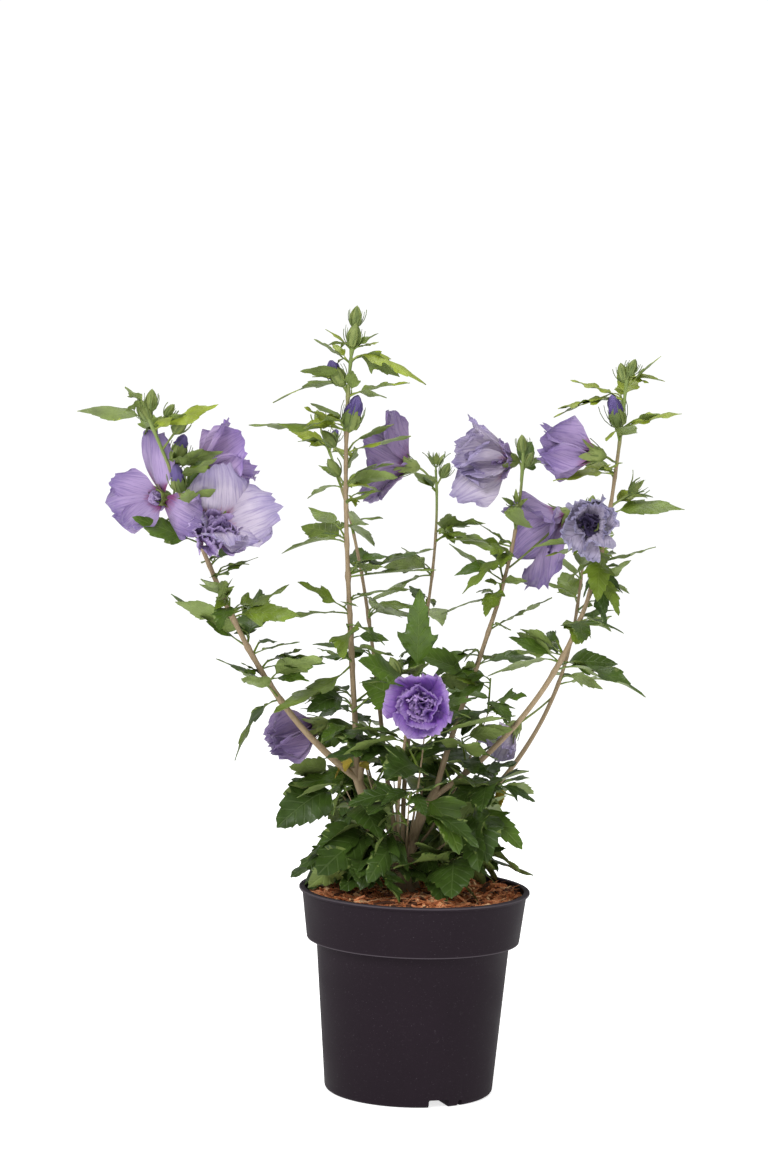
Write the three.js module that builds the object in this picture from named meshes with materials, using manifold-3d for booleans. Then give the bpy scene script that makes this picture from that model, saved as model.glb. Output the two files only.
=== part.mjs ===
// A rose of sharon (Hibiscus syriacus), a young flowering shrub in a round nursery pot.
// Millimetres, +Z up. The origin is the centre of the pot's flat underside and -Y is the front.
// Azimuths are degrees about Z from +X, and lifts are degrees above the horizontal.
import * as THREE from 'three';
import { mergeVertices } from 'three/addons/utils/BufferGeometryUtils.js';
import Module from 'manifold-3d';

const wasm = await Module();
wasm.setup();

// Driving sizes

const clearance = 0.3; // between pieces that rest on or meet each other
const leafClearance = 0.5; // round each leaf, on every side

const pot = {
  height: 168,
  wall: 2,
  footRadius: 69.5,
  shoulderRadius: 79.7, // of the body under the collar
  collarFoot: 125.4, // height of the collar's lower edge
  collarRadius: 87.5,
  step: 0.5, // rise of the ledge under the collar
  rimRadius: 95,
  lip: { width: 2.6, depth: 2.4, slope: 1 },
  cornerRadius: 3.5,
  floor: 8, // thickness of the base that the drainage channels are cut in
  sides: 32, // of the soil too
};
const drains = {
  past: 10, // reach of the cuts beyond the wall
  channels: { count: 3, width: 18, height: 6.5, inner: 36, turn: 21 },
  slots: { count: 3, width: 4, height: 5, inner: 60, turn: 37 },
};
const soil = { crown: 163, flat: 26, edge: 157, middle: { share: 0.8, rise: 4 }, fromCollar: 0.4 };

const trunk = { foot: [-8, 0], top: [-9, 0], height: 25, girth: [17, 12.5, 11, 10, 6.5], sides: 12 };

// Each limb runs on one cubic curve; girth is its radius at the foot and at the tip of the curve.
const arms = {
  arm_left: { path: [[-12, 0, 174], [-24, -4, 202], [-40, -8, 230], [-53, -12, 268]], girth: [7, 5.6] },
  arm_right: { path: [[-6, 0, 176], [-7, -2, 207], [2, -4, 226], [16, -6, 251]], girth: [6.6, 5.4] },
};

// The leafy shoots: the first share of each curve, bare, is the bough, and the rest is in the leaves.
// A bud is [share of the curve, azimuth, lift, stalk, length]. An outer leaf, one that gives the crown
// its outline, is [share of the curve, azimuth, lift, droop, length], and the other leaves follow the
// seeded rule.
const shoots = {
  left: {
    path: [[-50, -12, 259], [-143, -42, 326], [-174, -72, 448], [-221, -105, 551]],
    girth: [4.2, 1.5], bare: 0.26,
    leaves: 7, turn: 313, seed: 898, size: [78, 48], lift: [60, 37], droop: [10, 35],
    outer: [[0.99, 185, 40, -5, 61], [0.97, 350, 30, 20, 56], [0.87, 340, 35, 15, 48],
      [0.77, 320, 50, 5, 51], [0.69, 200, 20, 20, 60], [0.51, 15, 20, 30, 53], [0.36, 350, 30, 0, 55],
      [0.27, 205, 10, -70, 75], [0.6, 285, 35, 0, 46], [0.52, 262, 40, -35, 50], [0.5, 335, 35, -5, 62],
      [0.49, 195, 25, 15, 52], [0.42, 175, 35, 32, 76], [0.4, 340, 40, 10, 44], [0.32, 175, 30, 20, 48]],
    buds: [[0.97, 190, 65, 6, 20], [0.98, 60, 80, 2, 17], [0.93, 350, 62, 12, 17], [0.88, 330, 68, 8, 21],
      [0.8, 290, 50, 10, 18]],
  },
  tall: {
    path: [[-50, -12, 262], [-57, -24, 376], [-73, -37, 509], [-64, -50, 612]],
    girth: [3.6, 1.7], bare: 0.24,
    leaves: 9, turn: 63, seed: 279, size: [78, 44], lift: [11, 44], droop: [-10, 22],
    outer: [[0.955, 350, 60, -35, 84], [0.885, 170, 55, -30, 78], [0.79, 185, 20, -5, 80],
      [0.735, 10, 35, 10, 56], [0.66, 330, 45, 0, 52], [0.53, 195, 40, -25, 62], [0.46, 20, 20, 15, 77],
      [0.4, 340, 40, 5, 55], [0.26, 205, -50, -22, 80], [0.33, 265, 25, -30, 62],
      [0.985, 175, 60, 30, 28], [0.985, 5, 50, 30, 26]],
    buds: [[1, 20, 84, 14, 18], [0.99, 300, 75, 1, 21], [0.875, 170, 60, 8, 23], [0.775, 340, 75, 4, 30],
      [0.72, 175, 50, 14, 17], [0.66, 190, 55, 10, 17]],
  },
  back_left: {
    path: [[-12, 4, 182], [-38, 43, 302], [-38, 79, 426], [-90, 115, 537]],
    girth: [3.2, 1.3], bare: 0.4,
    leaves: 6, turn: 185, seed: 125, size: [72, 46], lift: [60, 70], droop: [-15, 28],
    outer: [[0.86, 150, 40, -35, 42], [0.56, 30, 40, 5, 43]],
    buds: [[1, 150, 75, 4, 15], [0.95, 70, 50, 9, 15]],
  },
  centre: {
    path: [[-9, 6, 181], [-20, 67, 303], [19, 111, 397], [9, 160, 505]],
    girth: [3, 1.4], bare: 0.45,
    leaves: 5, turn: 277, seed: 325, size: [70, 46], lift: [34, 41], droop: [-50, 20],
    outer: [[0.81, 340, 50, -25, 74], [0.72, 190, 10, -35, 61]],
    buds: [[1, 90, 85, 3, 17], [0.96, 20, 60, 8, 15]],
  },
  mid_right: {
    path: [[14, -6, 245], [32, -12, 337], [80, -19, 421], [76, -25, 538]],
    girth: [3.6, 1.5], bare: 0.28,
    leaves: 5, turn: 215, seed: 598, size: [74, 46], lift: [43, 19], droop: [3, 33],
    outer: [[0.74, 185, 20, 0, 52], [0.72, 215, 0, -45, 60], [0.59, 175, 30, -30, 53],
      [0.43, 170, 25, -45, 52], [0.4, 10, 40, -5, 54], [0.62, 250, 20, -40, 48]],
    buds: [[0.97, 120, 80, 2, 15], [0.93, 30, 60, 5, 14], [0.84, 255, 20, 7, 15]],
  },
  right: {
    path: [[14, -6, 245], [148, -34, 350], [145, -51, 470], [154, -75, 592]],
    girth: [4.2, 1.6], bare: 0.3,
    leaves: 8, turn: 140, seed: 62, size: [80, 46], lift: [38, 70], droop: [-34, 10],
    outer: [[0.98, 15, 50, 40, 39], [0.89, 350, 35, 10, 51], [0.94, 175, 55, -30, 70],
      [0.79, 200, 20, -15, 56], [0.59, 10, 20, 15, 49], [0.53, 340, 45, 35, 41], [0.37, 165, 50, 20, 43],
      [0.33, 350, 40, -30, 89], [0.6, 265, 15, -60, 56], [0.56, 300, 10, -55, 52],
      [0.62, 190, 30, -20, 50]],
    buds: [[0.98, 150, 75, 5, 16], [1, 30, 65, 3, 15], [0.885, 215, 70, 3, 27], [0.72, 340, 35, 18, 19]],
  },
  back_right: {
    path: [[-4, 4, 183], [148, 88, 298], [126, 105, 387], [143, 140, 470]],
    girth: [3.4, 1.3], bare: 0.42,
    leaves: 7, turn: 32, seed: 84, size: [72, 46], lift: [22, 41], droop: [-10, 30],
    outer: [[0.69, 0, -10, -35, 35]],
    buds: [[1, 60, 80, 4, 15]],
  },
  front: {
    path: [[-10, -8, 184], [-22, -48, 232], [-14, -62, 296], [-4, -64, 346]],
    girth: [2.6, 1.3], bare: 0.3,
    leaves: 6, turn: 260, seed: 83, size: [76, 64], lift: [34, 52], droop: [-30, 8],
    outer: [[1, 270, 88, 85, 75]],
    buds: [[0.9, 170, 60, 22, 17], [0.84, 150, 50, 14, 12]],
  },
};

// The low leafy shoots that start on the trunk, tier above tier.
const skirt = [
  { name: 'low', count: 5, turn: 245, height: 180, reach: 50, rise: 12, size: 80, lift: 40, droop: -38 },
  { name: 'middle', count: 6, turn: 280, height: 184, reach: 68, rise: 72, size: 84, lift: 42, droop: -50 },
  { name: 'high', count: 5, turn: 215, height: 190, reach: 62, rise: 136, size: 78, lift: 45, droop: -28 },
];
const skirtShoot = {
  arc: [[0, 0], [0.4, 0.2], [0.75, 0.6], [1, 1]], // shares of its reach and of its rise
  girth: [2, 1.1],
  bare: 0.3,
  leaves: 5,
  smallest: 0.8, // size of its last leaf beside its first
  droopSpread: 12,
  turnSpread: 20,
  reachSpread: [0.85, 1.15],
};

// A leaf of unit length: place along it, half width, sweep of the edge towards the tip, thickness.
const leaf = {
  petiole: 0.27, // share of the leaf's length
  stations: [[0, 0.014, 0, 0.024], [0.25, 0.014, 0, 0.022], [0.52, 0.27, 0.08, 0.016],
    [0.68, 0.15, 0.02, 0.014], [1, 0, 0, 0]],
  fold: 0.06, // rise of the edges over the midrib, for each unit of half width
};

// How leaves follow each other up a stem, and how far each may stray from the rule.
const growth = {
  first: 0.6, // of a step above the foot of the leafy part
  topmost: 0.985, // of the curve
  turnStep: 144,
  spread: { turn: 36, lift: 16, droop: 26, length: [0.82, 1.18], roll: 56 },
};
const seeds = { tier: 97, skirtShoot: 101, blossom: 300 };

const bud = { fullness: 0.27, sides: 4, profile: [0.5, 1, 0.76, 0], stalkRadius: 0.9 };

// Petals of unit length: place along it and half width; five stand round the throat.
const petal = {
  count: 5,
  stations: [[0, 0.07], [0.4, 0.36], [0.78, 0.5], [1, 0.22]],
  throat: 3.5, // radius of the ring that the claws stand on
  filled: 0.96, // of the room that a petal has beside its neighbours
  thickness: 0.9,
  bend: 0.45, // share of its length at which it turns outwards
  angleSpread: 10,
  lengthSpread: [0.92, 1.08],
};

// The cup of joined sepals: height along the way the flower faces, and radius.
const calyx = { profile: [[-3, 1.6], [1, 5.6], [12, 6.6]], throat: 7, sides: 5 };
const flowerStalk = { girth: [1.2, 1.5], sag: 3, straight: 8, sides: 3, steps: 3 };

// The crumpled middle of a double flower: its sections along the way it faces, as radii.
const ruffle = { profile: [0.55, 1, 0.82, 0], sides: 5, depth: 1.3, crumple: 0.22 };

// Blossoms: place of the calyx, azimuth and lift of the way it faces, the angles from that way at which a
// petal leaves the calyx and ends, petal length, radius of the crumpled middle, and the stem that it grows
// on at a share of its curve.
const blossoms = {
  left_far: {
    at: [-208, -88, 487], faces: [225, 24], open: [28, 60],
    petal: 47, core: 5, on: ['left', 0.84],
  },
  left_big: {
    at: [-171, -75, 461], faces: [292, 26], open: [30, 72],
    petal: 52, core: 20, on: ['left', 0.66],
  },
  left_high: {
    at: [-188, -68, 507], faces: [15, 28], open: [10, 40],
    petal: 46, core: 0, on: ['left', 0.78],
  },
  back_centre: {
    at: [-8, 148, 508], faces: [212, 4], open: [26, 60],
    petal: 50, core: 7, on: ['centre', 0.97],
  },
  mid_double: {
    at: [72, 2, 522], faces: [200, 4], open: [24, 62],
    petal: 53, core: 14, on: ['mid_right', 0.9],
  },
  right_bell: {
    at: [137, -76, 531], faces: [172, 10], open: [4, 22],
    petal: 44, core: 0, on: ['right', 0.82],
  },
  mid_hanging: {
    at: [117, 14, 478], faces: [190, -14], open: [26, 62],
    petal: 52, core: 0, on: ['mid_right', 0.68],
  },
  wilted: {
    at: [130, -80, 476], faces: [262, 8], open: [50, 84],
    petal: 25, core: 11, on: ['right', 0.66],
  },
  front_cup: {
    at: [1, -76, 329], faces: [264, 4], open: [66, 30],
    petal: 32, core: 16, on: ['front', 0.94],
  },
  left_low: {
    at: [-78, -2, 303], faces: [190, -20], open: [2, 12],
    petal: 42, core: 0, on: ['left', 0.12],
  },
  right_low: {
    at: [84, 78, 296], faces: [208, -38], open: [14, 42],
    petal: 28, core: 5, on: ['back_right', 0.44],
  },
  back_low: {
    at: [44, 86, 214], faces: [250, -10], open: [16, 44],
    petal: 27, core: 0, on: ['back_right', 0.3],
  },
};

const colours = {
  pot: 0x2b2a2e, soil: 0x8a4f35, bark: 0x9c8468, leaf: 0x3f6b2a, petal: 0x8f7fc4,
};

// Numbers and curves

const radians = THREE.MathUtils.degToRad;
const mix = THREE.MathUtils.lerp;
const up = new THREE.Vector3(0, 0, 1);
const nearlyUpright = 0.99;

function seeded(seed) {
  let state = seed * 7919;
  return () => {
    state = (state * 16807) % 2147483647;
    return state / 2147483647;
  };
}

function heading(azimuth, lift) {
  const level = Math.cos(radians(lift));
  return new THREE.Vector3(
    Math.cos(radians(azimuth)) * level,
    Math.sin(radians(azimuth)) * level,
    Math.sin(radians(lift)),
  );
}

function curveThrough(points) {
  return new THREE.CubicBezierCurve3(...points.map((point) => new THREE.Vector3(...point)));
}

// The way along a curve, with two ways across it.
function frameAt(curve, share) {
  const along = curve.getTangent(share);
  const level = Math.abs(along.z) > nearlyUpright ? new THREE.Vector3(0, 1, 0) : up;
  const side = new THREE.Vector3().crossVectors(along, level).normalize();
  return { at: curve.getPoint(share), along, side, over: new THREE.Vector3().crossVectors(side, along) };
}

// Solids

// A closed geometry as a solid, its shared corners merged and its faces turned outwards.
function solidOf(geometry) {
  geometry.deleteAttribute('normal');
  geometry.deleteAttribute('uv');
  const merged = mergeVertices(geometry, 1e-4);
  const vertProperties = merged.attributes.position.array;
  const triVerts = new Uint32Array(merged.index.array);
  const solid = new wasm.Manifold(new wasm.Mesh({ numProp: 3, vertProperties, triVerts }));
  if (solid.volume() > 0) return solid;
  return new wasm.Manifold(new wasm.Mesh({ numProp: 3, vertProperties, triVerts: triVerts.reverse() }));
}

// A round bar whose sections are moved by place(section number, x, y), x and y on the unit circle or 0.
function sweep(sides, steps, pointed, place) {
  const geometry = new THREE.CylinderGeometry(pointed ? 0 : 1, 1, 1, sides, steps);
  const corners = geometry.attributes.position;
  for (let i = 0; i < corners.count; i++) {
    const x = corners.getX(i);
    const z = corners.getZ(i);
    const radius = Math.hypot(x, z);
    const unit = radius > 1e-6 ? 1 / radius : 0;
    const corner = place(Math.round((corners.getY(i) + 0.5) * steps), x * unit, -z * unit);
    corners.setXYZ(i, corner.x, corner.y, corner.z);
  }
  return solidOf(geometry);
}

// A tapering limb along a stretch of a curve; extra is added to its radius.
function limb({ path, girth }, start, end, sides, steps, extra = 0) {
  const curve = curveThrough(path);
  return sweep(sides, steps, false, (step, x, y) => {
    const share = mix(start, end, step / steps);
    const { at, side, over } = frameAt(curve, share);
    const radius = mix(girth[0], girth[1], share) + extra;
    return at.addScaledVector(side, x * radius).addScaledVector(over, y * radius);
  });
}

function trunkSolid(extra = 0) {
  const steps = trunk.girth.length - 1;
  return sweep(trunk.sides, steps, false, (step, x, y) => {
    const share = step / steps;
    const radius = trunk.girth[step] + extra;
    return new THREE.Vector3(
      mix(trunk.foot[0], trunk.top[0], share) + x * radius,
      mix(trunk.foot[1], trunk.top[1], share) - y * radius,
      soil.crown + clearance + share * trunk.height,
    );
  });
}

function leafSolid({ at, azimuth, lift, droop, length, roll }, extra = 0) {
  const bend = at.clone().addScaledVector(heading(azimuth, lift), length * leaf.petiole);
  const tip = bend.clone().addScaledVector(heading(azimuth, droop), length * (1 - leaf.petiole));
  const curve = new THREE.QuadraticBezierCurve3(at, bend, tip);
  const { stations, fold } = leaf;
  return sweep(3, stations.length - 1, true, (step, x, y) => {
    const [share, half, ahead, thick] = stations[step];
    const frame = frameAt(curve, share);
    frame.side.applyAxisAngle(frame.along, radians(roll));
    frame.over.applyAxisAngle(frame.along, radians(roll));
    const isEdge = Math.abs(x) > 0.5;
    const reach = isEdge ? half * length + extra : 0;
    const rise = isEdge ? reach * fold + extra : y * (thick * length + extra);
    return frame.at
      .addScaledVector(frame.side, Math.sign(x) * reach)
      .addScaledVector(frame.along, isEdge ? ahead * length : 0)
      .addScaledVector(frame.over, rise);
  });
}

// An egg-shaped bud on its stalk.
function budSolid(at, azimuth, lift, stalk, length) {
  const way = heading(azimuth, lift);
  const { profile, sides, fullness } = bud;
  const side = new THREE.Vector3().crossVectors(way, up).normalize();
  const over = new THREE.Vector3().crossVectors(side, way);
  return sweep(sides, profile.length, true, (step, x, y) => {
    const radius = step === 0 ? bud.stalkRadius : profile[step - 1] * fullness * length;
    const reach = step === 0 ? 0 : stalk + ((step - 1) / (profile.length - 1)) * length;
    return at.clone()
      .addScaledVector(way, reach)
      .addScaledVector(side, x * radius)
      .addScaledVector(over, y * radius);
  });
}

// Ways across the way a flower faces; turn is the angle round it.
function spokes(way) {
  const side = new THREE.Vector3().crossVectors(way, up).normalize();
  return (turn) => new THREE.Vector3().crossVectors(side, way).applyAxisAngle(way, radians(turn));
}

// One petal, from the ring of claws to the rim of the flower.
function petalSolid(throat, way, turn, angles, length) {
  const out = spokes(way)(turn);
  const across = new THREE.Vector3().crossVectors(way, out);
  const towards = (angle) => way.clone().multiplyScalar(Math.cos(radians(angle)))
    .addScaledVector(out, Math.sin(radians(angle)));
  const claw = throat.clone().addScaledVector(out, petal.throat);
  const bend = claw.clone().addScaledVector(towards(angles[0]), length * petal.bend);
  const tip = bend.clone().addScaledVector(towards(angles[1]), length * (1 - petal.bend));
  const curve = new THREE.QuadraticBezierCurve3(claw, bend, tip);
  const room = Math.tan(Math.PI / petal.count) * petal.filled;
  return sweep(4, petal.stations.length - 1, false, (step, x, y) => {
    const [share, half] = petal.stations[step];
    const at = curve.getPoint(share);
    const radius = at.clone().sub(throat).dot(out);
    const reach = Math.min(half * length, radius * room);
    const over = new THREE.Vector3().crossVectors(curve.getTangent(share), across);
    return at.addScaledVector(across, x * reach).addScaledVector(over, y * petal.thickness);
  });
}

// The crumpled middle, its corners moved in and out by the seeded numbers.
function ruffleSolid(throat, way, radius, random) {
  const { profile, sides, depth, crumple } = ruffle;
  const spoke = spokes(way);
  const moved = new Map();
  return sweep(sides, profile.length - 1, true, (step, x, y) => {
    const turn = Math.round(THREE.MathUtils.radToDeg(Math.atan2(y, x)));
    const key = `${step} ${(turn + 360) % 360}`;
    if (!moved.has(key)) moved.set(key, 1 + crumple * 2 * (random() - 0.5));
    const reach = Math.hypot(x, y) * profile[step] * radius * moved.get(key);
    return throat.clone()
      .addScaledVector(way, (step / (profile.length - 1)) * radius * depth)
      .addScaledVector(spoke(turn), reach);
  });
}

// Rules of growth

// The leaves of a shoot: its outer ones, and then the rest as the seeded rule gives them.
function leavesOf({ path, bare, outer = [], leaves, turn, seed, size, lift, droop }) {
  const random = seeded(seed);
  const curve = curveThrough(path);
  const { first, topmost, turnStep, spread } = growth;
  const stray = (range) => range * (random() - 0.5);
  const plans = outer.map(([share, azimuth, rise, hang, length]) => (
    { at: curve.getPoint(share), azimuth, lift: rise, droop: hang, length, roll: 0 }));
  for (let i = 0; i < leaves; i++) {
    const share = (i + first) / leaves;
    const low = 1 - share;
    plans.push({
      at: curve.getPoint(mix(bare, topmost, share)),
      azimuth: turn + i * turnStep + stray(spread.turn),
      lift: mix(lift[1], lift[0], low) + stray(spread.lift),
      droop: mix(droop[1], droop[0], low) + stray(spread.droop),
      length: mix(size[1], size[0], low) * mix(...spread.length, random()),
      roll: stray(spread.roll),
    });
  }
  return plans;
}

// The low shoots of a tier, spread evenly round the trunk.
function skirtShoots({ count, turn, height, reach, rise, size, lift, droop }, number) {
  const random = seeded(seeds.tier + number);
  const { arc, smallest, droopSpread, turnSpread, reachSpread, ...shape } = skirtShoot;
  return Array.from({ length: count }, (_, i) => {
    const azimuth = turn + (i * 360) / count + turnSpread * (random() - 0.5);
    const level = heading(azimuth, 0).multiplyScalar(reach * mix(...reachSpread, random()));
    return {
      ...shape,
      path: arc.map(([out, raised]) => [
        trunk.top[0] + level.x * out,
        trunk.top[1] + level.y * out,
        height + rise * raised,
      ]),
      turn: azimuth,
      seed: seeds.skirtShoot + number * 10 + i,
      size: [size, size * smallest],
      lift: [lift, lift],
      droop: [droop - droopSpread, droop + droopSpread],
    };
  });
}

// Assembly

const root = new THREE.Group();
const placed = []; // solids of the pieces so far
const skins = []; // the limbs, grown by the clearance, that later pieces are cut by

function apart(a, b) {
  const [p, q] = [a.boundingBox(), b.boundingBox()];
  return [0, 1, 2].some((axis) => p.max[axis] < q.min[axis] || q.max[axis] < p.min[axis]);
}

function cutBy(solid, others) {
  return others.reduce((left, other) => (apart(left, other) ? left : left.subtract(other)), solid);
}

function touches(solid, others) {
  return others.some((other) => !apart(solid, other) && !solid.intersect(other).isEmpty());
}

function largest(solid) {
  return solid.decompose().reduce((best, body) => (body.volume() > best.volume() ? body : best));
}

function addPiece(name, solid, colour, roughness) {
  const { vertProperties, triVerts } = solid.getMesh();
  const geometry = new THREE.BufferGeometry();
  geometry.setAttribute('position', new THREE.BufferAttribute(new Float32Array(vertProperties), 3));
  geometry.setIndex(new THREE.BufferAttribute(new Uint32Array(triVerts), 1));
  const material = new THREE.MeshStandardMaterial({ color: colour, roughness, metalness: 0 });
  const mesh = new THREE.Mesh(geometry, material);
  mesh.name = name;
  root.add(mesh);
  placed.push(solid);
}

function potSolid() {
  const { wall, height, rimRadius, lip, cornerRadius, footRadius } = pot;
  const outside = [
    [0, 0],
    [footRadius - cornerRadius, 0],
    [footRadius - cornerRadius * 0.3, cornerRadius * 0.3],
    [footRadius, cornerRadius],
    [pot.shoulderRadius, pot.collarFoot],
    [pot.collarRadius, pot.collarFoot + pot.step],
    [rimRadius - lip.width, height - lip.depth - lip.slope],
    [rimRadius, height - lip.depth],
    [rimRadius, height],
  ];
  const inside = [
    [rimRadius - lip.width - wall, height],
    [rimRadius - lip.width - wall, height - lip.depth],
    [pot.collarRadius - wall, pot.collarFoot + wall + pot.step],
    [pot.shoulderRadius - wall, pot.collarFoot + wall],
    [footRadius - wall, pot.floor],
    [0, pot.floor],
  ];
  const profile = [...outside, ...inside].map(([radius, z]) => new THREE.Vector2(radius, z));
  const shell = solidOf(new THREE.LatheGeometry(profile, pot.sides).rotateX(Math.PI / 2));
  const cuts = [drains.channels, drains.slots].flatMap(({ count, width, height: tall, inner, turn }) =>
    Array.from({ length: count }, (_, i) => {
      const length = footRadius + drains.past - inner;
      const box = new THREE.BoxGeometry(length, width, tall * 2);
      box.translate(inner + length / 2, 0, 0).rotateZ(radians(turn - 90 + (i * 360) / count));
      return solidOf(box);
    }));
  return cuts.reduce((body, cut) => body.subtract(cut), shell);
}

function soilSolid() {
  const foot = pot.footRadius - pot.wall - clearance;
  const shoulder = pot.shoulderRadius - pot.wall - clearance;
  const slope = (pot.rimRadius - pot.lip.width - pot.collarRadius) / (pot.height - pot.collarFoot);
  const collar = pot.collarRadius - pot.wall - clearance - soil.fromCollar;
  const edge = collar + slope * (soil.edge - pot.collarFoot);
  const profile = [
    [0, pot.floor + clearance],
    [foot, pot.floor + clearance],
    [shoulder - 0.1, pot.collarFoot + 1],
    [shoulder, pot.collarFoot + pot.wall + 1],
    [collar, pot.collarFoot + pot.wall + 1],
    [edge, soil.edge],
    [edge * soil.middle.share, soil.edge + soil.middle.rise],
    [soil.flat, soil.crown],
    [0, soil.crown],
  ].map(([radius, z]) => new THREE.Vector2(radius, z));
  return solidOf(new THREE.LatheGeometry(profile, pot.sides).rotateX(Math.PI / 2));
}

function addLimb(name, solid, skin) {
  addPiece(name, largest(cutBy(solid, skins)), colours.bark, 0.85);
  skins.push(skin);
}

function blossomSolid({ at, faces, open, petal: length, core, on: [shootName, share] }, number) {
  const random = seeded(seeds.blossom + number);
  const centre = new THREE.Vector3(...at);
  const way = heading(...faces);
  const throat = centre.clone().addScaledVector(way, calyx.throat);
  const spoke = spokes(way);
  const join = curveThrough(shoots[shootName].path).getPoint(share);
  const pieces = [
    sweep(calyx.sides, calyx.profile.length - 1, false, (step, x, y) => {
      const [height, radius] = calyx.profile[step];
      const turn = THREE.MathUtils.radToDeg(Math.atan2(y, x));
      return centre.clone().addScaledVector(way, height)
        .addScaledVector(spoke(turn), Math.hypot(x, y) * radius);
    }),
    limb({
      path: [join, join.clone().lerp(centre, 0.4).addScaledVector(up, -flowerStalk.sag),
        centre.clone().addScaledVector(way, -flowerStalk.straight), centre].map((point) => point.toArray()),
      girth: flowerStalk.girth,
    }, 0, 1, flowerStalk.sides, flowerStalk.steps),
  ];
  for (let i = 0; i < petal.count; i++) {
    const angles = open.map((angle) => angle + petal.angleSpread * (random() - 0.5));
    const reach = length * mix(...petal.lengthSpread, random());
    pieces.push(petalSolid(throat, way, i * (360 / petal.count), angles, reach));
  }
  if (core > 0) pieces.push(ruffleSolid(throat, way, core, random));
  return pieces.reduce((sum, piece) => sum.add(piece));
}

// A leaf in the way of something is turned and raised by these degrees in turn, or else skipped.
const tries = [[0, 0], [24, 0], [-24, 0], [0, 20], [45, 10], [-45, 10], [20, 35], [-20, 35], [0, 60]];

// The stem of a shoot with its leaves and buds. A bud in the way of something is left out.
function massSolid({ shoot, stem }, obstacles) {
  let mass = stem;
  for (const [share, azimuth, lift, stalk, length] of shoot.buds ?? []) {
    const knob = budSolid(curveThrough(shoot.path).getPoint(share), azimuth, lift, stalk, length);
    if (!touches(knob, obstacles)) mass = mass.add(knob);
  }
  for (const plan of leavesOf(shoot)) {
    const turned = tries.map(([turn, raise]) => (
      { ...plan, azimuth: plan.azimuth + turn, lift: plan.lift + raise / 2, droop: plan.droop + raise }));
    const free = turned.find((one) => !touches(leafSolid(one, leafClearance), obstacles));
    if (free) mass = mass.add(leafSolid(free));
  }
  return largest(mass);
}

addPiece('pot', potSolid(), colours.pot, 0.45);
addPiece('soil', soilSolid(), colours.soil, 0.95);
addLimb('trunk', trunkSolid(), trunkSolid(clearance));
for (const [name, arm] of Object.entries(arms)) {
  addLimb(name, limb(arm, 0, 1, 7, 5), limb(arm, 0, 1, 7, 5, clearance));
}
for (const [name, shoot] of Object.entries(shoots)) {
  addLimb(`bough_${name}`, limb(shoot, 0, shoot.bare, 6, 5), limb(shoot, 0, shoot.bare, 6, 5, clearance));
}

const growing = Object.entries(shoots).map(([name, shoot]) => (
  { name, shoot, start: shoot.bare, steps: 8 }));
skirt.forEach((tier, number) => {
  skirtShoots(tier, number).forEach((shoot, i) => {
    growing.push({ name: `${tier.name}_${i + 1}`, shoot, start: 0, steps: 4 });
  });
});
for (const grown of growing) {
  const { shoot, start, steps } = grown;
  const seat = start > 0 ? start + clearance / curveThrough(shoot.path).getLength() : 0;
  grown.stem = largest(cutBy(limb(shoot, seat, 1, 4, steps), skins));
  skins.push(limb(shoot, seat, 1, 4, steps, clearance));
}

Object.entries(blossoms).forEach(([name, blossom], number) => {
  const flower = cutBy(blossomSolid(blossom, number), [...skins, ...placed]);
  addPiece(`blossom_${name}`, largest(flower), colours.petal, 0.6);
});
for (const grown of growing) {
  const otherStems = growing.filter((one) => one !== grown).map((one) => one.stem);
  const mass = massSolid(grown, [...placed, ...otherStems]);
  addPiece(`foliage_${grown.name}`, mass, colours.leaf, 0.6);
}

export default root;
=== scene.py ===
import random
from math import cos, degrees, exp, pi, radians, sin, sqrt

import bpy
import numpy as np
from mathutils import Matrix, Vector, kdtree, noise


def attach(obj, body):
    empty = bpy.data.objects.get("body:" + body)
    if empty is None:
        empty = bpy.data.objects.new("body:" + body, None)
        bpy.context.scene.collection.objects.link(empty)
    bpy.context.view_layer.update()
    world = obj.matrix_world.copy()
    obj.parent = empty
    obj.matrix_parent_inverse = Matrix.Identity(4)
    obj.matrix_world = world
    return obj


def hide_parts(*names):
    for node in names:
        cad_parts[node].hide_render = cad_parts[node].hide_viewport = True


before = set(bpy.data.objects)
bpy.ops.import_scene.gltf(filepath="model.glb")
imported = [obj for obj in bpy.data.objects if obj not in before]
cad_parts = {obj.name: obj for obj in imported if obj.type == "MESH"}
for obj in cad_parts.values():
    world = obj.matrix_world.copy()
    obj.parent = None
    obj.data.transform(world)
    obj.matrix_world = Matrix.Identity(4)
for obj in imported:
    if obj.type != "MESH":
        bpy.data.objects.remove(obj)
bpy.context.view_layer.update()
mm = 0.001
worldUp = Vector((0, 0, 1))


# Small helpers

def objectMode():
    bpy.ops.object.mode_set(mode="OBJECT")


def deselectAll():
    if bpy.context.object and bpy.context.object.mode != "OBJECT":
        objectMode()
    bpy.ops.object.select_all(action="DESELECT")


def activate(piece):
    deselectAll()
    piece.select_set(True)
    bpy.context.view_layer.objects.active = piece


def applyModifier(piece, kind, **settings):
    activate(piece)
    bpy.ops.object.modifier_add(type=kind)
    modifier = piece.modifiers[-1]
    for key, value in settings.items():
        setattr(modifier, key, value)
    bpy.ops.object.modifier_apply(modifier=modifier.name)


def editAll():  # edit mode with the whole mesh selected
    bpy.ops.object.mode_set(mode="EDIT")
    bpy.ops.mesh.select_all(action="SELECT")


def finishEdit():  # every face turned outwards
    bpy.ops.mesh.select_all(action="SELECT")
    bpy.ops.mesh.normals_make_consistent(inside=False)
    objectMode()


def linear(code):  # sRGB hex to linear colour
    channels = [int(code[i:i + 2], 16) / 255 for i in (1, 3, 5)]
    return tuple(c / 12.92 if c <= 0.04045 else ((c + 0.055) / 1.055) ** 2.4 for c in channels) + (1,)


def mix(a, b, share):
    return a + (b - a) * share


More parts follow.
